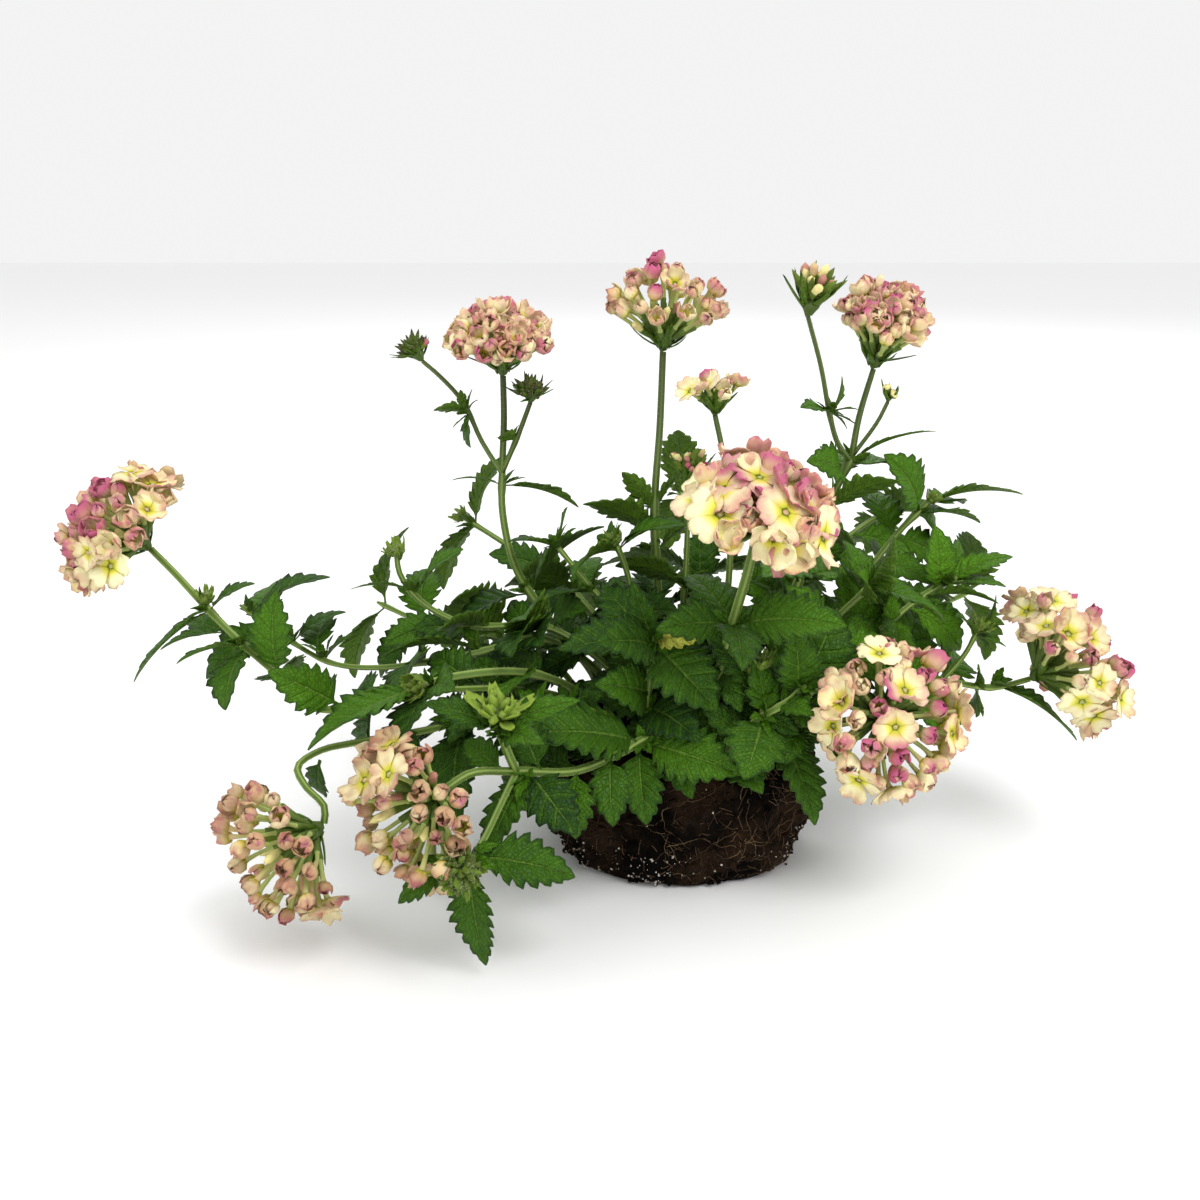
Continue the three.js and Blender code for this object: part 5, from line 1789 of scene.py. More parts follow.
class Florets:
    """Folds florets from their lobes, and draws the tubes that they stand on."""

    LOBES = 5
    EYE_RADIUS = 0.1
    PROFILE_END = 1.1
    PROFILE_STEPS = 44
    SLOPES_FLAT = (0.08, -0.25)
    SLOPES_KNOB = (0.3, 3.9)
    SPIN, FOLDED_SPIN = 0.25, 0.5
    TILT = 0.1
    WRAP = (0.15, 0.6)
    UNEVENNESS = 0.11
    LOBE_SIZES = (0.84, 1.1)
    RUFFLE = 0.08
    SLANT, OVERLAP = 0.03, 0.012
    NARROWEST = 0.015
    FULLEST_CURL = 1.15
    TUBE_SHARES = np.array([0.0, 0.08, 0.35, 0.52, 0.54, 0.75, 0.93, 1.0])
    TUBE_RADII = np.array([0.55, 1.0, 1.15, 1.3, 0.8, 0.76, 1.0, 1.3])
    TUBE_SIDES = 6
    TUBE_RISE, TUBE_END = 0.33, 0.3

    def __init__(self, rng: Random) -> None:
        """Models the lobes."""
        self.rng = rng
        self.fine, self.plain = FloretBlank(5, 6), FloretBlank(4, 4)

    @classmethod
    def profile(cls, closed: float, share: Array) -> tuple[Array, Array, Array]:
        """The curve that a lobe follows from the eye out.

        Args:
            closed: From 0, flat, to 1, a knob.
            share: How far along the lobe, from 0 to 1.

        Returns:
            How far out and how far up it is there, and how steep, for a lobe one long.
        """
        first, last = (lerp(*slopes, closed) for slopes in zip(cls.SLOPES_FLAT, cls.SLOPES_KNOB))
        fine = np.linspace(0, cls.PROFILE_END, cls.PROFILE_STEPS + 1)
        steep = lerp(first, last, fine)
        out, up = (np.concatenate([[0], np.cumsum(way(steep[:-1])) * fine[1]])
                   for way in (np.cos, np.sin))
        return tuple(np.interp(share, fine, curve) for curve in (cls.EYE_RADIUS + out, up, steep))

    def open(self, bunch: Bunch, spot: Spot, radius: float, closed: float,
             tint: tuple[float, float, float], fine: bool) -> None:
        """Adds a floret's five lobes.

        Args:
            bunch: Where they go.
            spot: The floret's place.
            radius: How wide the lobes reach when flat.
            closed: From 0, flat, to 1, a knob.
            tint: How magenta, how blushed and how brown they are.
            fine: Whether the lobes are finely modelled.
        """
        blank = self.fine if fine else self.plain
        across, other = square_to(spot.facing)
        x, y, z = blank.stock.places.T
        side = blank.grain[:, 1]
        start = self.rng.uniform(0, FULL_TURN)
        spin = self.rng.uniform(-self.SPIN, self.SPIN) + self.FOLDED_SPIN * closed
        lean = self.rng.normal(0, self.TILT, 2)
        share = (x - FloretBlank.EYE) / (1 - FloretBlank.EYE)
        wrap = float(smooth(closed, *self.WRAP))
        wander = 0.08 + 0.5 * tint[0] * (1 - tint[0])
        for k in range(self.LOBES):
            own = float(np.clip(closed + self.rng.normal(0, self.UNEVENNESS), 0, 1.05))
            big = self.rng.uniform(*self.LOBE_SIZES)
            out, up, steep = self.profile(own, share)
            first, second = self.rng.uniform(0, FULL_TURN, 2)
            ruffle = share ** 2 * (np.sin(4.2 * side + first) + 0.7 * np.sin(7 * side + second))
            off = z + self.RUFFLE * ruffle + self.SLANT * side * closed + self.OVERLAP * (k % 2)
            out = np.maximum(out - off * np.sin(steep), self.NARROWEST)
            curl = np.clip(y / np.maximum(out, 0.13), -self.FULLEST_CURL, self.FULLEST_CURL)
            radial = lerp(out, out * np.cos(curl), wrap) * big
            sideways = lerp(y, out * np.sin(curl), wrap) * big
            turn = start + FULL_TURN * k / self.LOBES + spin * share
            up = ((up + off * np.cos(steep)) * big
                  + radial * (lean[0] * np.cos(turn) + lean[1] * np.sin(turn)))
            places = spot.point + radius * (around(across, other, turn) * radial[:, None]
                                            + around(other, -across, turn) * sideways[:, None]
                                            + spot.facing * up[:, None])
            tints = [held(value + self.rng.normal(0, spread))
                     for value, spread in zip(tint, (wander, 0.2, 0.1))]
            bunch.add(blank.stock, places, Skin.PETAL, tints, blank.grain)

    def tube(self, bunch: Bunch, spot: Spot) -> None:
        """Adds a floret's tube with its green calyx, from the seat to the eye.

        Args:
            bunch: Where it goes.
            spot: The floret's place.
        """
        way, t = spot.point - spot.root, self.TUBE_SHARES[:, None]
        low = spot.root + way * self.TUBE_RISE
        high = spot.point - spot.facing * float(np.linalg.norm(way)) * self.TUBE_END
        points = ((1 - t) ** 3 * spot.root + 3 * (1 - t) ** 2 * t * low
                  + 3 * (1 - t) * t ** 2 * high + t ** 3 * spot.point)
        bunch.stalk(points, self.TUBE_RADII, self.TUBE_SIDES, Skin.TUBE,
                    (0, self.rng.uniform(0, 1), 0))


class BudBlank:
    """A closed bud: a ribbed calyx, which ends in a point or lets the folded petals show."""

    POINTED = ((0.0, 0.0), (0.05, 0.42), (0.25, 0.78), (0.5, 1.0), (0.675, 0.94), (0.81, 0.66),
               (0.92, 0.36), (1.0, 0.0))
    ROUND = ((0.0, 0.0), (0.04, 0.34), (0.25, 0.56), (0.5, 0.74), (0.65, 0.8), (0.71, 0.72),
             (0.81, 1.0), (0.925, 0.78), (1.0, 0.0))
    RIBS = 4
    RIB_HEIGHT = 0.12
    CALYX_SHARE = 0.7

    def __init__(self, profile: tuple[tuple[float, float], ...]) -> None:
        """Models the bud.

        Args:
            profile: Its radius at shares of its height.
        """
        self.stock = Bench.blank("uv_sphere", segments=8, ring_count=8, radius=1)
        x, y, z = self.stock.places.T
        turn, self.share = np.arctan2(y, x), climb(z)
        ribs = 1 + self.RIB_HEIGHT * np.cos(self.RIBS * turn) * (self.share < self.CALYX_SHARE)
        radius = np.interp(self.share, *np.array(profile).T) * ribs
        self.ring = np.stack([np.cos(turn), np.sin(turn)], -1) * radius[:, None]
        self.grain = np.stack([self.share, turn / math.pi, 0 * turn], -1)

    def add(self, bunch: Bunch, root: Array, tip: Array, radius: float,
            tint: Sequence[float], bow: float) -> None:
        """Adds a bud.

        Args:
            bunch: Where it goes.
            root: Its root.
            tip: Its tip.
            radius: Its radius.
            tint: Whether petals show, which ones, and how dark its tip is.
            bow: How far its middle stands aside, as a share of its length.
        """
        across, other = square_to(unit(tip - root))
        aside = bow * float(np.linalg.norm(tip - root)) * np.sin(math.pi * self.share)
        places = (root + (tip - root) * self.share[:, None] + across * aside[:, None]
                  + self.ring @ np.stack([across, other]) * radius)
        bunch.add(self.stock, places, Skin.BUD, tint, self.grain)


class BractBlank:
    """A bract in a few faces, narrow and pointed or broad and blunt."""

    THICKNESS = 0.25
    TROUGH = 0.3
    TIP_WIDTH = 0.04
    LEAST_CURVE = 0.05

    def __init__(self, rows: int, columns: int, blunt: bool) -> None:
        """Models the bract.

        Args:
            rows: How many faces it has along.
            columns: How many faces it has across.
            blunt: Whether it is broad up to its tip.
        """
        u, v = np.meshgrid(np.linspace(0, 1, rows + 1), np.linspace(-1, 1, columns + 1))
        width = 0.4 + 0.6 * smooth(u, 0, 0.6) - 0.55 * smooth(u, 0.8, 1.0)
        if not blunt:
            width = 0.35 + 0.65 * np.sin(math.pi * np.minimum(u + 0.12, 1))
            width[u == 1] = self.TIP_WIDTH
        places = np.stack([u - 0.08 * u ** 4 * v ** 2, v * width, self.TROUGH * v ** 2], -1)
        self.stock = Bench.sheet(places, self.THICKNESS)
        y = self.stock.places[:, 1]
        self.grain = np.stack([0 * y, y, np.repeat([0.0, 1.0], len(y) // 2)], -1)

    def add(self, bunch: Bunch, root: Array, ahead: Array, top: Array, size: tuple[float, float],
            curve: float, skin: Skin, tint: Sequence[float]) -> Array:
        """Adds a bract.

        Args:
            bunch: Where it goes.
            root: Its root.
            ahead: Which way it starts.
            top: Which way it curves.
            size: Its length and half width.
            curve: How far it bends towards the top, in radians.
            skin: Its finish.
            tint: Its tint.

        Returns:
            Where its vertices are.
        """
        length, half_width = size
        x, y, z = self.stock.places.T
        side = unit(np.cross(ahead, top))
        curve = max(curve, self.LEAST_CURVE)
        reach, rise = (way * length / curve for way in (np.sin(curve * x), 1 - np.cos(curve * x)))
        places = (root + ahead * reach[:, None] - side * (y * half_width)[:, None]
                  + unit(np.cross(side, ahead)) * (rise + z * half_width)[:, None])
        bunch.add(self.stock, places, skin, tint, self.grain)
        return places


@dataclass
class FlowerHead:
    """A head of florets, or of buds, on its green seat at the tip of a branch."""

    kit: "Kit"
    head: Head
    tip: Array
    bunch: Bunch

    seat_radius: float = 3.8
    seat_sink: float = 0.6
    seat_levels: tuple[float, ...] = (0, 0.075, 0.3, 0.55, 0.8, 1)
    seat_shape: tuple[float, ...] = (0.26, 0.34, 0.62, 1.0, 0.82, 0.0)
    seat_ridge: float = 0.3
    seat_age: float = 0.6
    heart_share: float = 0.45
    under_fall: float = 0.8
    face_lift: float = 0.25
    small_seat: tuple[float, ...] = (0.16, 0.28)
    floret_sizes: tuple[float, ...] = (0.84, 1.1)
    root_depth: float = 0.72
    spent_radius: float = 1.7
    spent_lengths: tuple[float, ...] = (0.5, 0.85)
    flat_sway: float = 0.16
    knob_sway: float = 0.3
    flat_depth: float = 0.9
    knob_depth: float = 0.78
    knob_size: float = 0.94
    knob_sink: float = 0.45
    knob_blush: float = 0.15
    magenta_spread: float = 0.16
    dusks: tuple[float, ...] = (0.4, 1.3)
    bud_sizes: tuple[float, ...] = (0.8, 1.15)
    bud_bows: tuple[float, ...] = (-0.06, 0.12)
    collar_height: float = 0.8
    bract_leans: tuple[float, ...] = (0.65, 1.2)
    bract_heights: tuple[float, ...] = (0.4, 1.1)
    bract_widths: tuple[float, ...] = (0.8, 1.2)
    hair_spread: float = 0.6

    def __post_init__(self) -> None:
        """Makes the head fuller and turns it to the way that it faces."""
        head, size = self.head, self.head.fuller
        self.head = replace(head, axis=head.faces or head.axis, width=head.width * size,
                            height=head.height * size)
        self.frame, self.rng = HeadFrame.of(self.head, self.tip), self.kit.rng

    def dome(self, count: int, floret_radius: float) -> list[Spot]:
        """Places spread evenly over the head, from its crown down past its widest ring.

        Args:
            count: How many places.
            floret_radius: How far a floret reaches past its place.

        Returns:
            The places.
        """
        lowest, highest = math.cos(self.head.spread), math.cos(self.head.hollow)
        heart = self.head.height * self.heart_share
        reach = (self.head.width - floret_radius) / 2
        spots = []
        for i in range(count):
            share = (i + 0.5) / count
            high = lerp(highest, lowest, share)
            belt = self.frame.out(GOLDEN_ANGLE * i) * math.sqrt(1 - high ** 2)
            rise = high * (self.head.height - heart if high > 0 else heart * self.under_fall)
            facing = unit(belt + self.frame.axis * (high + self.face_lift))
            spots.append(Spot(self.frame.up(heart + rise) + belt * reach, facing,
                              self.frame.base, 1 - share))
        return spots

    def seat(self, radius: float, middle: float) -> None:
        """Adds the green seat, which widens from the stem to a small dome.

        Args:
            radius: Its radius.
            middle: How high up the axis it is widest.
        """
        x, y, z = self.kit.seat.places.T
        share = climb(z)
        shape = np.interp(share, self.seat_levels, self.seat_shape) * radius
        rise = share * (middle + radius) - self.seat_sink
        places = self.frame.up(rise[:, None]) + self.frame.out(np.arctan2(y, x)) * shape[:, None]
        grain = np.stack([self.seat_ridge + 0 * share, share, self.seat_age + 0 * share], -1)
        self.bunch.add(self.kit.seat, places, Skin.STEM, (0.5, 0.5, 0), grain)

    def collar(self, radius: float, middle: float, collar: Collar, measure: float = 1.0) -> None:
        """Adds bracts round the seat.

        Args:
            radius: The seat's radius.
            middle: How high up the axis the seat is widest.
            collar: What they are like.
            measure: What the collar's sizes are measured in.
        """
        roots, ways = [], []
        blank = self.kit.blunt_bract if collar.pale else self.kit.bract
        for k in range(collar.count):
            outward = self.frame.out(GOLDEN_ANGLE * k + self.rng.uniform(-0.2, 0.2))
            lean = collar.lean * self.rng.uniform(*self.bract_leans)
            ahead = around(self.frame.axis, outward, lean)
            height = middle * self.rng.uniform(*self.bract_heights)
            root = self.frame.up(height) + outward * radius * 0.7
            size = (self.rng.uniform(*collar.length) * measure,
                    collar.half_width * measure * self.rng.uniform(*self.bract_widths))
            skin, tint = Skin.LEAF, (self.rng.uniform(0.1, 0.7), 0.0, self.rng.uniform(0, 1))
            if collar.pale:
                skin, tint = Skin.BUD, (0.0, collar.pale, 0.0)
            places = blank.add(self.bunch, root, ahead, self.frame.axis, size,
                               self.rng.uniform(*collar.curl), skin, tint)
            roots.append(places[::3])
            ways.append(np.broadcast_to(outward, roots[-1].shape))
        if collar.hair:
            self.fuzz(np.concatenate(roots), np.concatenate(ways), collar.hair)

    def fuzz(self, roots: Array, ways: Array, length: float) -> None:
        """Adds hairs that stand out at random, most of them along given ways."""
        ways = unit(ways * self.hair_spread + self.rng.normal(0, 1, roots.shape))
        self.bunch.hairs(roots, ways, length)

    def florets(self, show: Show, radius: float) -> None:
        """Adds the florets of an open head on their tubes.

        Args:
            show: What they are like.
            radius: The seat's radius.
        """
        heart = self.frame.up(radius * self.collar_height)
        fine = self.head.bloom in (Bloom.FRESH, Bloom.RING)
        for spot in self.dome(show.count, show.radius):
            outward = unit(spot.point - heart)
            root = heart + outward * radius * self.root_depth
            if self.rng.uniform() < show.spent_share * 2 * spot.crown:
                tip = root + (spot.point - root) * self.rng.uniform(*self.spent_lengths)
                tint = (1.0, self.rng.uniform(0, 0.55), 0.3)
                self.kit.ripe_bud.add(self.bunch, root, tip, self.spent_radius, tint, 0.05)
                continue
            opened = self.rng.uniform() < lerp(*reversed(show.open_share), spot.crown)
            closed = self.rng.uniform(*(show.open_closed if opened else show.shut_closed))
            size = show.radius * self.rng.uniform(*self.floret_sizes)
            size *= lerp(1.0, self.knob_size, closed)
            sway = self.rng.normal(0, lerp(self.flat_sway, self.knob_sway, closed), 3)
            facing = unit(lerp(spot.facing, outward, closed) + sway)
            depth = self.rng.uniform(lerp(self.flat_depth, self.knob_depth, closed), 1.0)
            centre = (heart + (spot.point - heart) * depth
                      - facing * size * self.knob_sink * closed)
            floret = Spot(centre, facing, root, spot.crown)
            magenta = held(lerp(*reversed(show.magenta), spot.crown ** 2)
                           + self.rng.normal(0, self.magenta_spread))
            magenta *= show.kept if opened else 1.0
            blush = lerp(*show.blush, self.rng.uniform(0, 1)) + self.knob_blush * closed
            tint = (magenta, min(blush, 1.0), show.dusk * self.rng.uniform(*self.dusks))
            self.kit.florets.open(self.bunch, floret, size, closed, tint, fine)
            self.kit.florets.tube(self.bunch, floret)

    def buds(self, cluster: Cluster, seat_radius: float, middle: float) -> None:
        """Adds closed buds on a small seat, with their hairs.

        Args:
            cluster: What they are like.
            seat_radius: The seat's radius.
            middle: How high up the axis the seat is widest.
        """
        heart = self.frame.up(middle)
        radius = self.head.width * cluster.radius
        roots, ways = [], []
        for spot in self.dome(cluster.count, radius * 2):
            outward = unit(spot.point - heart)
            root = heart + outward * seat_radius * 0.5
            tip = heart + (spot.point - heart) * self.rng.uniform(*cluster.reach)
            shows = self.rng.uniform() < self.head.tips
            own = radius * self.rng.uniform(*self.bud_sizes) * (cluster.swell if shows else 1)
            blank = self.kit.ripe_bud if shows else self.kit.bud
            tint = (float(shows), self.rng.uniform(*cluster.shades) if shows else cluster.pale,
                    self.rng.uniform(*cluster.dusk))
            blank.add(self.bunch, root, tip, own, tint, self.rng.uniform(*self.bud_bows))
            shares = self.rng.uniform(0.3, 0.95, (cluster.hairs, 1))
            aside = unit(self.rng.normal(0, 1, (cluster.hairs, 3)))
            roots.append(root + (tip - root) * shares + aside * own * 0.5)
            ways.append(aside + outward)
        self.fuzz(np.concatenate(roots), np.concatenate(ways), cluster.hair)

    def open(self) -> None:
        """Adds all of an open head."""
        show = SHOWS[self.head.bloom]
        radius = self.seat_radius * show.seat
        self.seat(radius, radius)
        self.florets(show, radius)
        for collar in show.collars:
            self.collar(radius, radius * self.collar_height, collar)

    def closed(self) -> None:
        """Adds all of a head of closed buds."""
        cluster = CLUSTERS[self.head.bloom]
        seat = self.head.width * self.small_seat[0], self.head.height * self.small_seat[1]
        self.seat(*seat)
        self.buds(cluster, *seat)
        for collar in cluster.collars:
            self.collar(*seat, collar, self.head.width)

    def build(self) -> None:
        """Makes the head's piece, which stands for the head's node."""
        opens = self.head.bloom in SHOWS
        if opens:
            self.open()
        else:
            self.closed()
        self.bunch.piece(self.head.name + "_flowers", "petal" if opens else "bud", self.head.name)


@dataclass
class LeafyStem:
    """A stem and its shoots, with the part's leaves and the smaller ones on them."""

    kit: "Kit"
    name: str
    limbs: list[Limb]
    leaves: list[Leaf]
    extras: list[Leaf]

    ring_step: float = 3.2
    old_heights: tuple[int, ...] = (105, 185)
    sides: int = 16
    node_swell: float = 0.28
    node_width: float = 2.4
    tip_taper: float = 0.5
    hair_spacing: float = 0.42
    hair_length: float = 0.95
    hair_depth: float = 0.8
    tuft_share: float = 0.8
    tuft_sizes: tuple[int, ...] = (8, 14)
    # Painted light and shade in the leaves' green, with young growth: the shaded middle of the
    # crown keeps the dullest green, and each lit side adds a gain between two distances.
    dullest: float = 0.3
    bright_right: tuple[float, ...] = (0.55, 0, 70)
    bright_front: tuple[float, ...] = (0.16, 35, 85)
    bright_left: tuple[float, ...] = (0.24, 70, 140)

    def __post_init__(self) -> None:
        """Starts its piece."""
        self.rng, self.bunch = self.kit.rng, Bunch(self.kit.rng)

    def radii(self, limb: Limb, shares: Array) -> Array:
        """How thick a branch is along its length: it swells where leaves leave it.

        Args:
            limb: The branch.
            shares: How far along it.

        Returns:
            The radii.
        """
        radii = lerp(*limb.branch.radii, shares)
        for node in {row[0] for row in (*limb.branch.pairs, *limb.branch.leaves)}:
            away = (shares - min(node, Limb.TIP_SHARE)) * limb.route.length
            radii = radii * (1 + self.node_swell * np.exp(-(away / self.node_width) ** 2))
        return radii

    def bough(self, limb: Limb) -> None:
        """Adds a branch with its hairs.

        Args:
            limb: The branch.
        """
        rings = max(4, round(limb.route.length / self.ring_step))
        shares = np.linspace(0, 1, rings + 1)
        points, radii = limb.route.even(shares), self.radii(limb, shares)
        if not limb.branch.head:
            radii[-1] *= self.tip_taper
        self.bunch.stalk(points, radii, self.sides, Skin.STEM, (self.rng.uniform(0, 1), 0, 0), 1.0,
                         smooth(points[:, 2], *self.old_heights))
        count = int(limb.route.length / self.hair_spacing)
        places = self.rng.uniform(0, 1, count) * rings
        across, other = frames_along(points)
        ring = np.minimum(places.astype(int), rings - 1)
        middle = lerp(points[ring], points[ring + 1], (places - ring)[:, None])
        way = around(across[ring], other[ring], self.rng.uniform(0, FULL_TURN, count))
        roots = middle + way * (radii[ring] * self.hair_depth)[:, None]
        self.bunch.hairs(roots, way, self.hair_length)

    def lit_and_young_share(self, leaf: Leaf) -> float:
        """How much painted light a leaf's green gets, with its young growth: more on the right, at
        the front and at the far left.

        Args:
            leaf: The leaf.

        Returns:
            From 0 for dark to 1 for bright.
        """
        x, y, _ = leaf.root
        return float(self.dullest + sum(
            gain * smooth(reach, *edges) for reach, (gain, *edges) in
            zip((x, -y, -x), (self.bright_right, self.bright_front, self.bright_left))))

    def knob(self, root: Array, axis: Array, size: float) -> None:
        """Adds a small fuzzy knob of closed buds and bracts."""
        head = Head("knob", tuple(axis), size * 2, size * 1.5, Bloom.SHOOT, fuller=1.3)
        FlowerHead(self.kit, head, root - axis * HeadFrame.GAP, self.bunch).closed()

    def build(self) -> None:
        """Makes the stem's piece, which stands for the stem's node."""
        for limb in self.limbs:
            self.bough(limb)
            if limb.branch.tip_bud:
                self.knob(*limb.at(Limb.TIP_SHARE), limb.branch.tip_bud)
            if limb.branch.node_bud:
                share, size = limb.branch.node_bud
                self.knob(limb.at(share)[0], UP, size)
        for leaf in (*self.leaves, *self.extras):
            self.kit.foliage.lay(self.bunch, leaf, self.lit_and_young_share(leaf))
        for leaf in self.leaves:
            if self.rng.uniform() < self.tuft_share:
                way = unit(leaf.ahead + leaf.top * 1.2)
                size = self.rng.uniform(*self.tuft_sizes)
                self.kit.foliage.tuft(self.bunch, leaf.root, way, size)
        self.bunch.piece(self.name + "_leafy", "foliage", self.name)


# The root ball

@dataclass
class RootBall:
    """A squarish lump of potting soil, held by fine roots, flat underneath."""

    rng: Random

    top_radius: float = 53.5
    foot_radius: float = 46.0
    foot_rounding: float = 3.5
    height: float = 61.0
    rim_height: float = 50.0
    squareness: float = 2.7
    square_share: float = 0.55
    depth_ratio: float = 0.94
    waves: tuple[tuple[float, ...], ...] = ((0.016, 7, 0.16, 0.0), (0.013, 12, -0.23, 1.3))
    top_wave: float = 0.9
    segments: int = 230
    rings: int = 110
    even_shares: tuple[float, ...] = (0, 0.12, 0.82, 1)
    top_share: float = 0.86
    step: float = 0.004
    sink: float = 0.4
    foot_blend: float = 4.0
    lump_shapes: tuple[float, ...] = (0.6, 1.2)
    lump_jitter: float = 0.09
    crumb_top: float = 0.98
    crumb_count: int = 1500
    crumbs_to_clod: int = 6
    crumb_sizes: tuple[float, ...] = (0.35, 1.3)
    clod_sizes: tuple[float, ...] = (1.3, 2.8)
    grain_count: int = 420
    perlite_sizes: tuple[float, ...] = (0.12, 0.6)
    drift_top: float = 0.4
    drift_width: float = 0.2
    stray_top: float = 0.97
    drifts: tuple[float, ...] = (-2.5, -1.85, -0.6, 0.9, 2.2)
    root_count: int = 150
    fibre_count: int = 1000
    thread_top: float = 0.84
    thread_sides: int = 4
    thread_sink: float = 0.35
    thread_rise: float = 0.45
    turn_step: float = 0.032
    share_step: float = 0.0105

    def __post_init__(self) -> None:
        """Lays out the lump's side, from the middle of its foot to the middle of its top."""
        top, foot = self.top_radius, self.foot_radius
        self.profile = np.array([
            (0, 0), (foot - 6, 0), (foot, 0.4), (foot + self.foot_rounding, 5), (top - 1, 15),
            (top, 28), (top, 40), (top - 3, self.rim_height), (top * 0.78, self.height - 5),
            (top * 0.5, self.height - 1.5), (top * 0.22, self.height), (0, self.height)])
        self.along = lengths_along(self.profile) / lengths_along(self.profile)[-1]
        self.low, self.middle = float(self.along[2]), float(self.along[6])

    def surface(self, turn: Array, share: Array) -> Array:
        """Points on the smooth lump.

        Args:
            turn: The angles round it.
            share: How far from the middle of its foot, over its side, to the middle of its top.

        Returns:
            The points.
        """
        radius, height = (np.interp(share, self.along, row) for row in self.profile.T)
        cos, sin, power = np.cos(turn), np.sin(turn), self.squareness
        square = (np.abs(cos) ** power + np.abs(sin) ** power) ** (-1 / power)
        rough = 1 + sum(size * np.sin(turns * turn + per_height * height + start)
                        for size, turns, per_height, start in self.waves)
        corner = radius * lerp(1, square, self.square_share) * rough
        x, y = corner * cos, corner * sin * self.depth_ratio
        wave = self.top_wave * (np.sin(0.21 * x + 1) + np.sin(0.26 * y))
        return np.stack([x, y, height + np.where(height > self.rim_height - 1, wave, 0)], -1)

    def outward(self, turn: Array, share: Array) -> Array:
        """Which way the lump faces.

        Args:
            turn: The angles round it.
            share: How far over it, as for its surface.

        Returns:
            The directions.
        """
        sideways = self.surface(turn + self.step, share) - self.surface(turn - self.step, share)
        above = self.surface(turn, np.minimum(share + self.step, 1))
        return unit(np.cross(sideways, above - self.surface(turn, share - self.step)))

    @staticmethod
    def roughness(points: Array) -> Array:
        """How far the crumbly surface stands out: waves, clods and crumbs.

        Args:
            points: Points on the smooth lump.

        Returns:
            The heights over them, in millimetres.
        """
        return np.array([1.9 * noise.noise(Vector((x, y, z)) * 0.11)
                         + 1.6 * noise.noise(Vector((x + 40, y, z)) * 0.3)
                         + 0.9 * abs(noise.noise(Vector((x, y + 70, z)) * 0.85))
                         for x, y, z in points])

    def lump(self) -> None:
        """Makes the soil itself, which stands for its node."""
        stock = Bench.blank("uv_sphere", segments=self.segments, ring_count=self.rings, radius=1)
        x, y, z = stock.places.T
        share = np.interp(climb(z), self.even_shares, (0, self.low * 0.98, self.top_share, 1))
        turn = np.arctan2(y, x)
        places = self.surface(turn, share)
        stands_out = self.roughness(places)
        rise = (stands_out - self.sink) * smooth(places[:, 2], 0.0, self.foot_blend)
        places = places + self.outward(turn, np.clip(share, 0.01, 0.99)) * rise[:, None]
        places[:, 2] = np.maximum(places[:, 2], 0)
        bunch = Bunch(self.rng)
        bunch.add(stock, places, Skin.SOIL, (0, 0, 0), np.stack([stands_out, share, 0 * share], -1))
        bunch.piece("root_ball_soil", "soil", "root_ball")

    def scatter(self, bunch: Bunch, turn: Array, size: tuple[float, float], high: float,
                skin: Skin) -> None:
        """Strews small lumps over the surface, each of its own shape.

        Args:
            bunch: Where they go.
            turn: The angle round it at which each of them lies.
            size: The smallest and largest radius.
            high: The highest share of the surface that they lie on.
            skin: Their finish.
        """
        blank, count = Bench.blank("ico_sphere", subdivisions=1, radius=1), len(turn)
        share = self.rng.uniform(self.low, high, count)
        radius = self.rng.uniform(size[0] ** 0.5, size[1] ** 0.5, count) ** 2
        middle = self.surface(turn, share)
        rise = self.roughness(middle) - self.sink + radius * 0.2
        middle = middle + self.outward(turn, share) * rise[:, None]
        middle[:, 2] = np.maximum(middle[:, 2], radius * 0.9)
        shape = self.rng.uniform(*self.lump_shapes, (count, 1, 3))
        jitter = self.rng.normal(0, self.lump_jitter, (count, len(blank.places), 3))
        places = middle[:, None] + (blank.places * shape + jitter) * radius[:, None, None]
        places[..., 2] = np.maximum(places[..., 2], 0)
        bunch.add(blank.times(count), places.reshape(-1, 3), skin, (0, 0, 0))

    def crumbs(self) -> None:
        """Makes the loose crumbs of soil."""
        bunch = Bunch(self.rng)
        clods = self.crumb_count // self.crumbs_to_clod
        for count, size in ((self.crumb_count, self.crumb_sizes), (clods, self.clod_sizes)):
            turn = self.rng.uniform(0, FULL_TURN, count)
            self.scatter(bunch, turn, size, self.crumb_top, Skin.SOIL)
        bunch.piece("soil_crumbs", "soil")

    def perlite(self) -> None:
        """Makes the pale grains of perlite, most of them in loose drifts low on the side."""
        bunch, count = Bunch(self.rng), self.grain_count
        drifts = self.rng.choice(self.drifts, count) + self.rng.normal(0, self.drift_width, count)
        strays = self.rng.uniform(0, FULL_TURN, count // 2)
        drift_top = lerp(self.low, self.middle, self.drift_top)
        for turn, high in ((drifts, drift_top), (strays, self.stray_top)):
            self.scatter(bunch, turn, self.perlite_sizes, high, Skin.PERLITE)
        bunch.piece("perlite_grains", "soil")

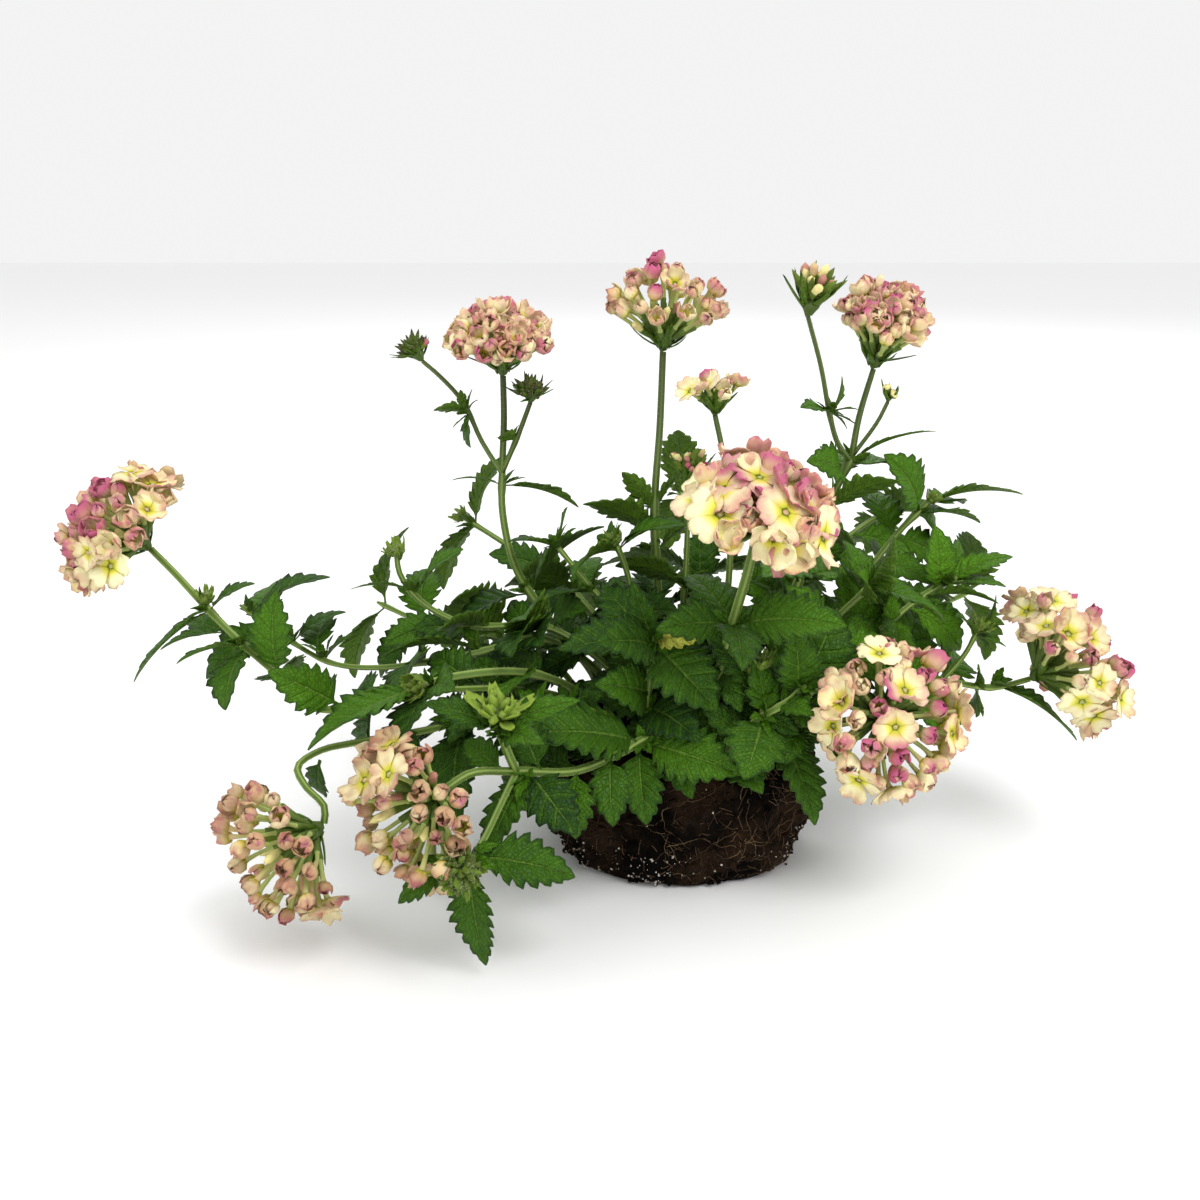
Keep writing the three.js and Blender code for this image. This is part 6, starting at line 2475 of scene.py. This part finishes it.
    def thread(self, bunch: Bunch, turn: float, steps: tuple[int, int], wander: float,
               size: tuple[float, float], skin: Skin) -> None:
        """Adds a thread that wanders over the surface.

        Args:
            bunch: Where it goes.
            turn: The angle at which it starts.
            steps: The fewest steps it takes, and one more than the most.
            wander: How much it turns at each step, in radians.
            size: The smallest and largest radius.
            skin: Its finish.
        """
        low, high = self.low + 0.01, self.thread_top
        turns, shares = [turn], [self.rng.uniform(low, high)]
        count, radius = int(self.rng.integers(*steps)), self.rng.uniform(*size)
        heading = self.rng.uniform(0, FULL_TURN)
        for _ in range(count):
            heading += self.rng.normal(0, wander)
            turns.append(turns[-1] + self.turn_step * math.cos(heading))
            shares.append(min(max(shares[-1] + self.share_step * math.sin(heading), low), high))
        over = np.array(turns), np.array(shares)
        points = self.surface(*over)
        rise = self.roughness(points) - self.thread_sink + self.rng.uniform(0, self.thread_rise)
        bunch.stalk(points + self.outward(*over) * rise[:, None],
                    np.linspace(radius, radius / 2, len(points)), self.thread_sides, skin,
                    (self.rng.uniform(0, 1), 0, 0))

    def roots(self) -> None:
        """Makes the fine roots, most of them on the right, and the short brown fibres."""
        bunch = Bunch(self.rng)
        for k in range(self.root_count):
            turn = self.rng.normal(-0.75, 0.5) if k % 2 else self.rng.uniform(0, FULL_TURN)
            self.thread(bunch, turn, (6, 18), 0.4, (0.06, 0.14), Skin.ROOT)
        for _ in range(self.fibre_count):
            turn = self.rng.uniform(0, FULL_TURN)
            self.thread(bunch, turn, (2, 5), 0.15, (0.1, 0.24), Skin.FIBRE)
        bunch.piece("fine_roots", "soil")

    def build(self) -> None:
        """Makes all the pieces of the root ball."""
        for make in (self.lump, self.crumbs, self.perlite, self.roots):
            make()


class Kit:
    """The blanks, and what lays them."""

    SEED = 11

    def __init__(self) -> None:
        """Models the blanks of leaves, florets, buds, bracts and seats."""
        self.rng = np.random.default_rng(self.SEED)
        self.foliage, self.florets = Foliage(self.rng), Florets(self.rng)
        self.bud, self.ripe_bud = BudBlank(BudBlank.POINTED), BudBlank(BudBlank.ROUND)
        self.bract, self.blunt_bract = BractBlank(4, 2, blunt=False), BractBlank(5, 3, blunt=True)
        self.seat = Bench.blank("uv_sphere", segments=12, ring_count=8, radius=1)


# The studio

@dataclass(frozen=True)
class Lamp:
    """A soft square lamp that faces the plant."""

    name: str
    at: Point
    size: float
    watts: float


@dataclass(frozen=True)
class Studio:
    """The camera, the floor and the light."""

    camera_at: Point = (-0.033, -0.529, 0.275)
    camera_pitch: float = math.radians(18)
    lens: float = 42.0
    sensor: float = 36.0
    floor_size: float = 6.0
    floor_drop: float = -0.0006
    floor_colour: Colour = (246, 246, 246)
    floor_roughness: float = 0.9
    lit_point: Point = (0, 0, 0.1)
    lamps: tuple[Lamp, ...] = (Lamp("key_light", (0.6, -0.9, 1.5), 0.8, 17),
                               Lamp("fill_light", (-1.2, -0.7, 0.9), 1.2, 4),
                               Lamp("back_light", (0.3, 1.3, 1.1), 1.0, 6))
    sky: float = 0.9

    @staticmethod
    def put(name: str, data: bpy.types.ID, at: Point, turn: Sequence[float]) -> Thing:
        """Adds an object.

        Args:
            name: Its name.
            data: What it shows.
            at: Its place.
            turn: How it is turned.

        Returns:
            The object.
        """
        obj = bpy.data.objects.new(name, data)
        obj.location, obj.rotation_euler = at, turn
        bpy.context.scene.collection.objects.link(obj)
        return obj

    def camera(self) -> None:
        """Adds the camera at the photograph's viewing angle."""
        data = bpy.data.cameras.new("camera")
        data.lens, data.sensor_width = self.lens, self.sensor
        turn = (math.pi / 2 - self.camera_pitch, 0, 0)
        bpy.context.scene.camera = self.put("camera", data, self.camera_at, turn)

    def floor(self) -> None:
        """Adds the plain pale floor."""
        floor = Bench.primitive("plane", size=self.floor_size, location=(0, 0, self.floor_drop))
        floor.name = "studio_floor"
        shader = Shader("studio_floor")
        colour = shader.colour(self.floor_colour)
        floor.data.materials.append(shader.finish(colour, self.floor_roughness))
        floor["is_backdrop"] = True

    def light(self) -> None:
        """Adds the lamps and the even light of the sky."""
        for lamp in self.lamps:
            data = bpy.data.lights.new(lamp.name, "AREA")
            data.size, data.energy = lamp.size, lamp.watts
            way = Vector(self.lit_point) - Vector(lamp.at)
            self.put(lamp.name, data, lamp.at, way.to_track_quat("-Z", "Y").to_euler())
        world = bpy.data.worlds.new("studio")
        world.use_nodes = True
        colour, strength = world.node_tree.nodes["Background"].inputs[:2]
        colour.default_value, strength.default_value = (1, 1, 1, 1), self.sky
        bpy.context.scene.world = world

    def build(self) -> None:
        """Sets up the studio."""
        self.camera()
        self.floor()
        self.light()
        bpy.context.scene.view_settings.view_transform = "Standard"


def limbs_of(stem: Stem) -> list[Limb]:
    """A stem and its shoots in their places. A shoot starts inside its stem."""
    main = Limb(stem.name, stem.main, stem.main.route[0])
    return [main, *(Limb(stem.name, shoot, main.nearest(shoot.route[0])) for shoot in stem.shoots)]


def write_sizes() -> None:
    """Writes the box of the CAD model and that of the visual model."""
    rows = [[list(corner) for corner in box] for box in (CAD_BOX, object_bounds())]
    log.info("CAD box %s, visual box %s", *rows)


def main() -> None:
    """Builds the plant, from the soil up, and the studio round it."""
    logging.basicConfig(level=logging.INFO, format="%(message)s")
    Studio().build()
    kit = Kit()
    RootBall(kit.rng).build()
    stems = {stem.name: limbs_of(stem) for stem in STEMS}
    limbs = [limb for rows in stems.values() for limb in rows]
    planting = Planting(limbs)
    leaves = planting.grow()
    extras = planting.wither() + planting.thicken(kit.rng)
    log.info("%d leaves, %d smaller ones", len(leaves), len(extras))
    for name, rows in stems.items():
        own, more = ([leaf for leaf in group if leaf.stem == name] for group in (leaves, extras))
        LeafyStem(kit, name, rows, own, more).build()
    for limb in limbs:
        if limb.branch.head:
            FlowerHead(kit, limb.branch.head, limb.points[-1], Bunch(kit.rng)).build()
    write_sizes()


if __name__ == "__main__":
    main()
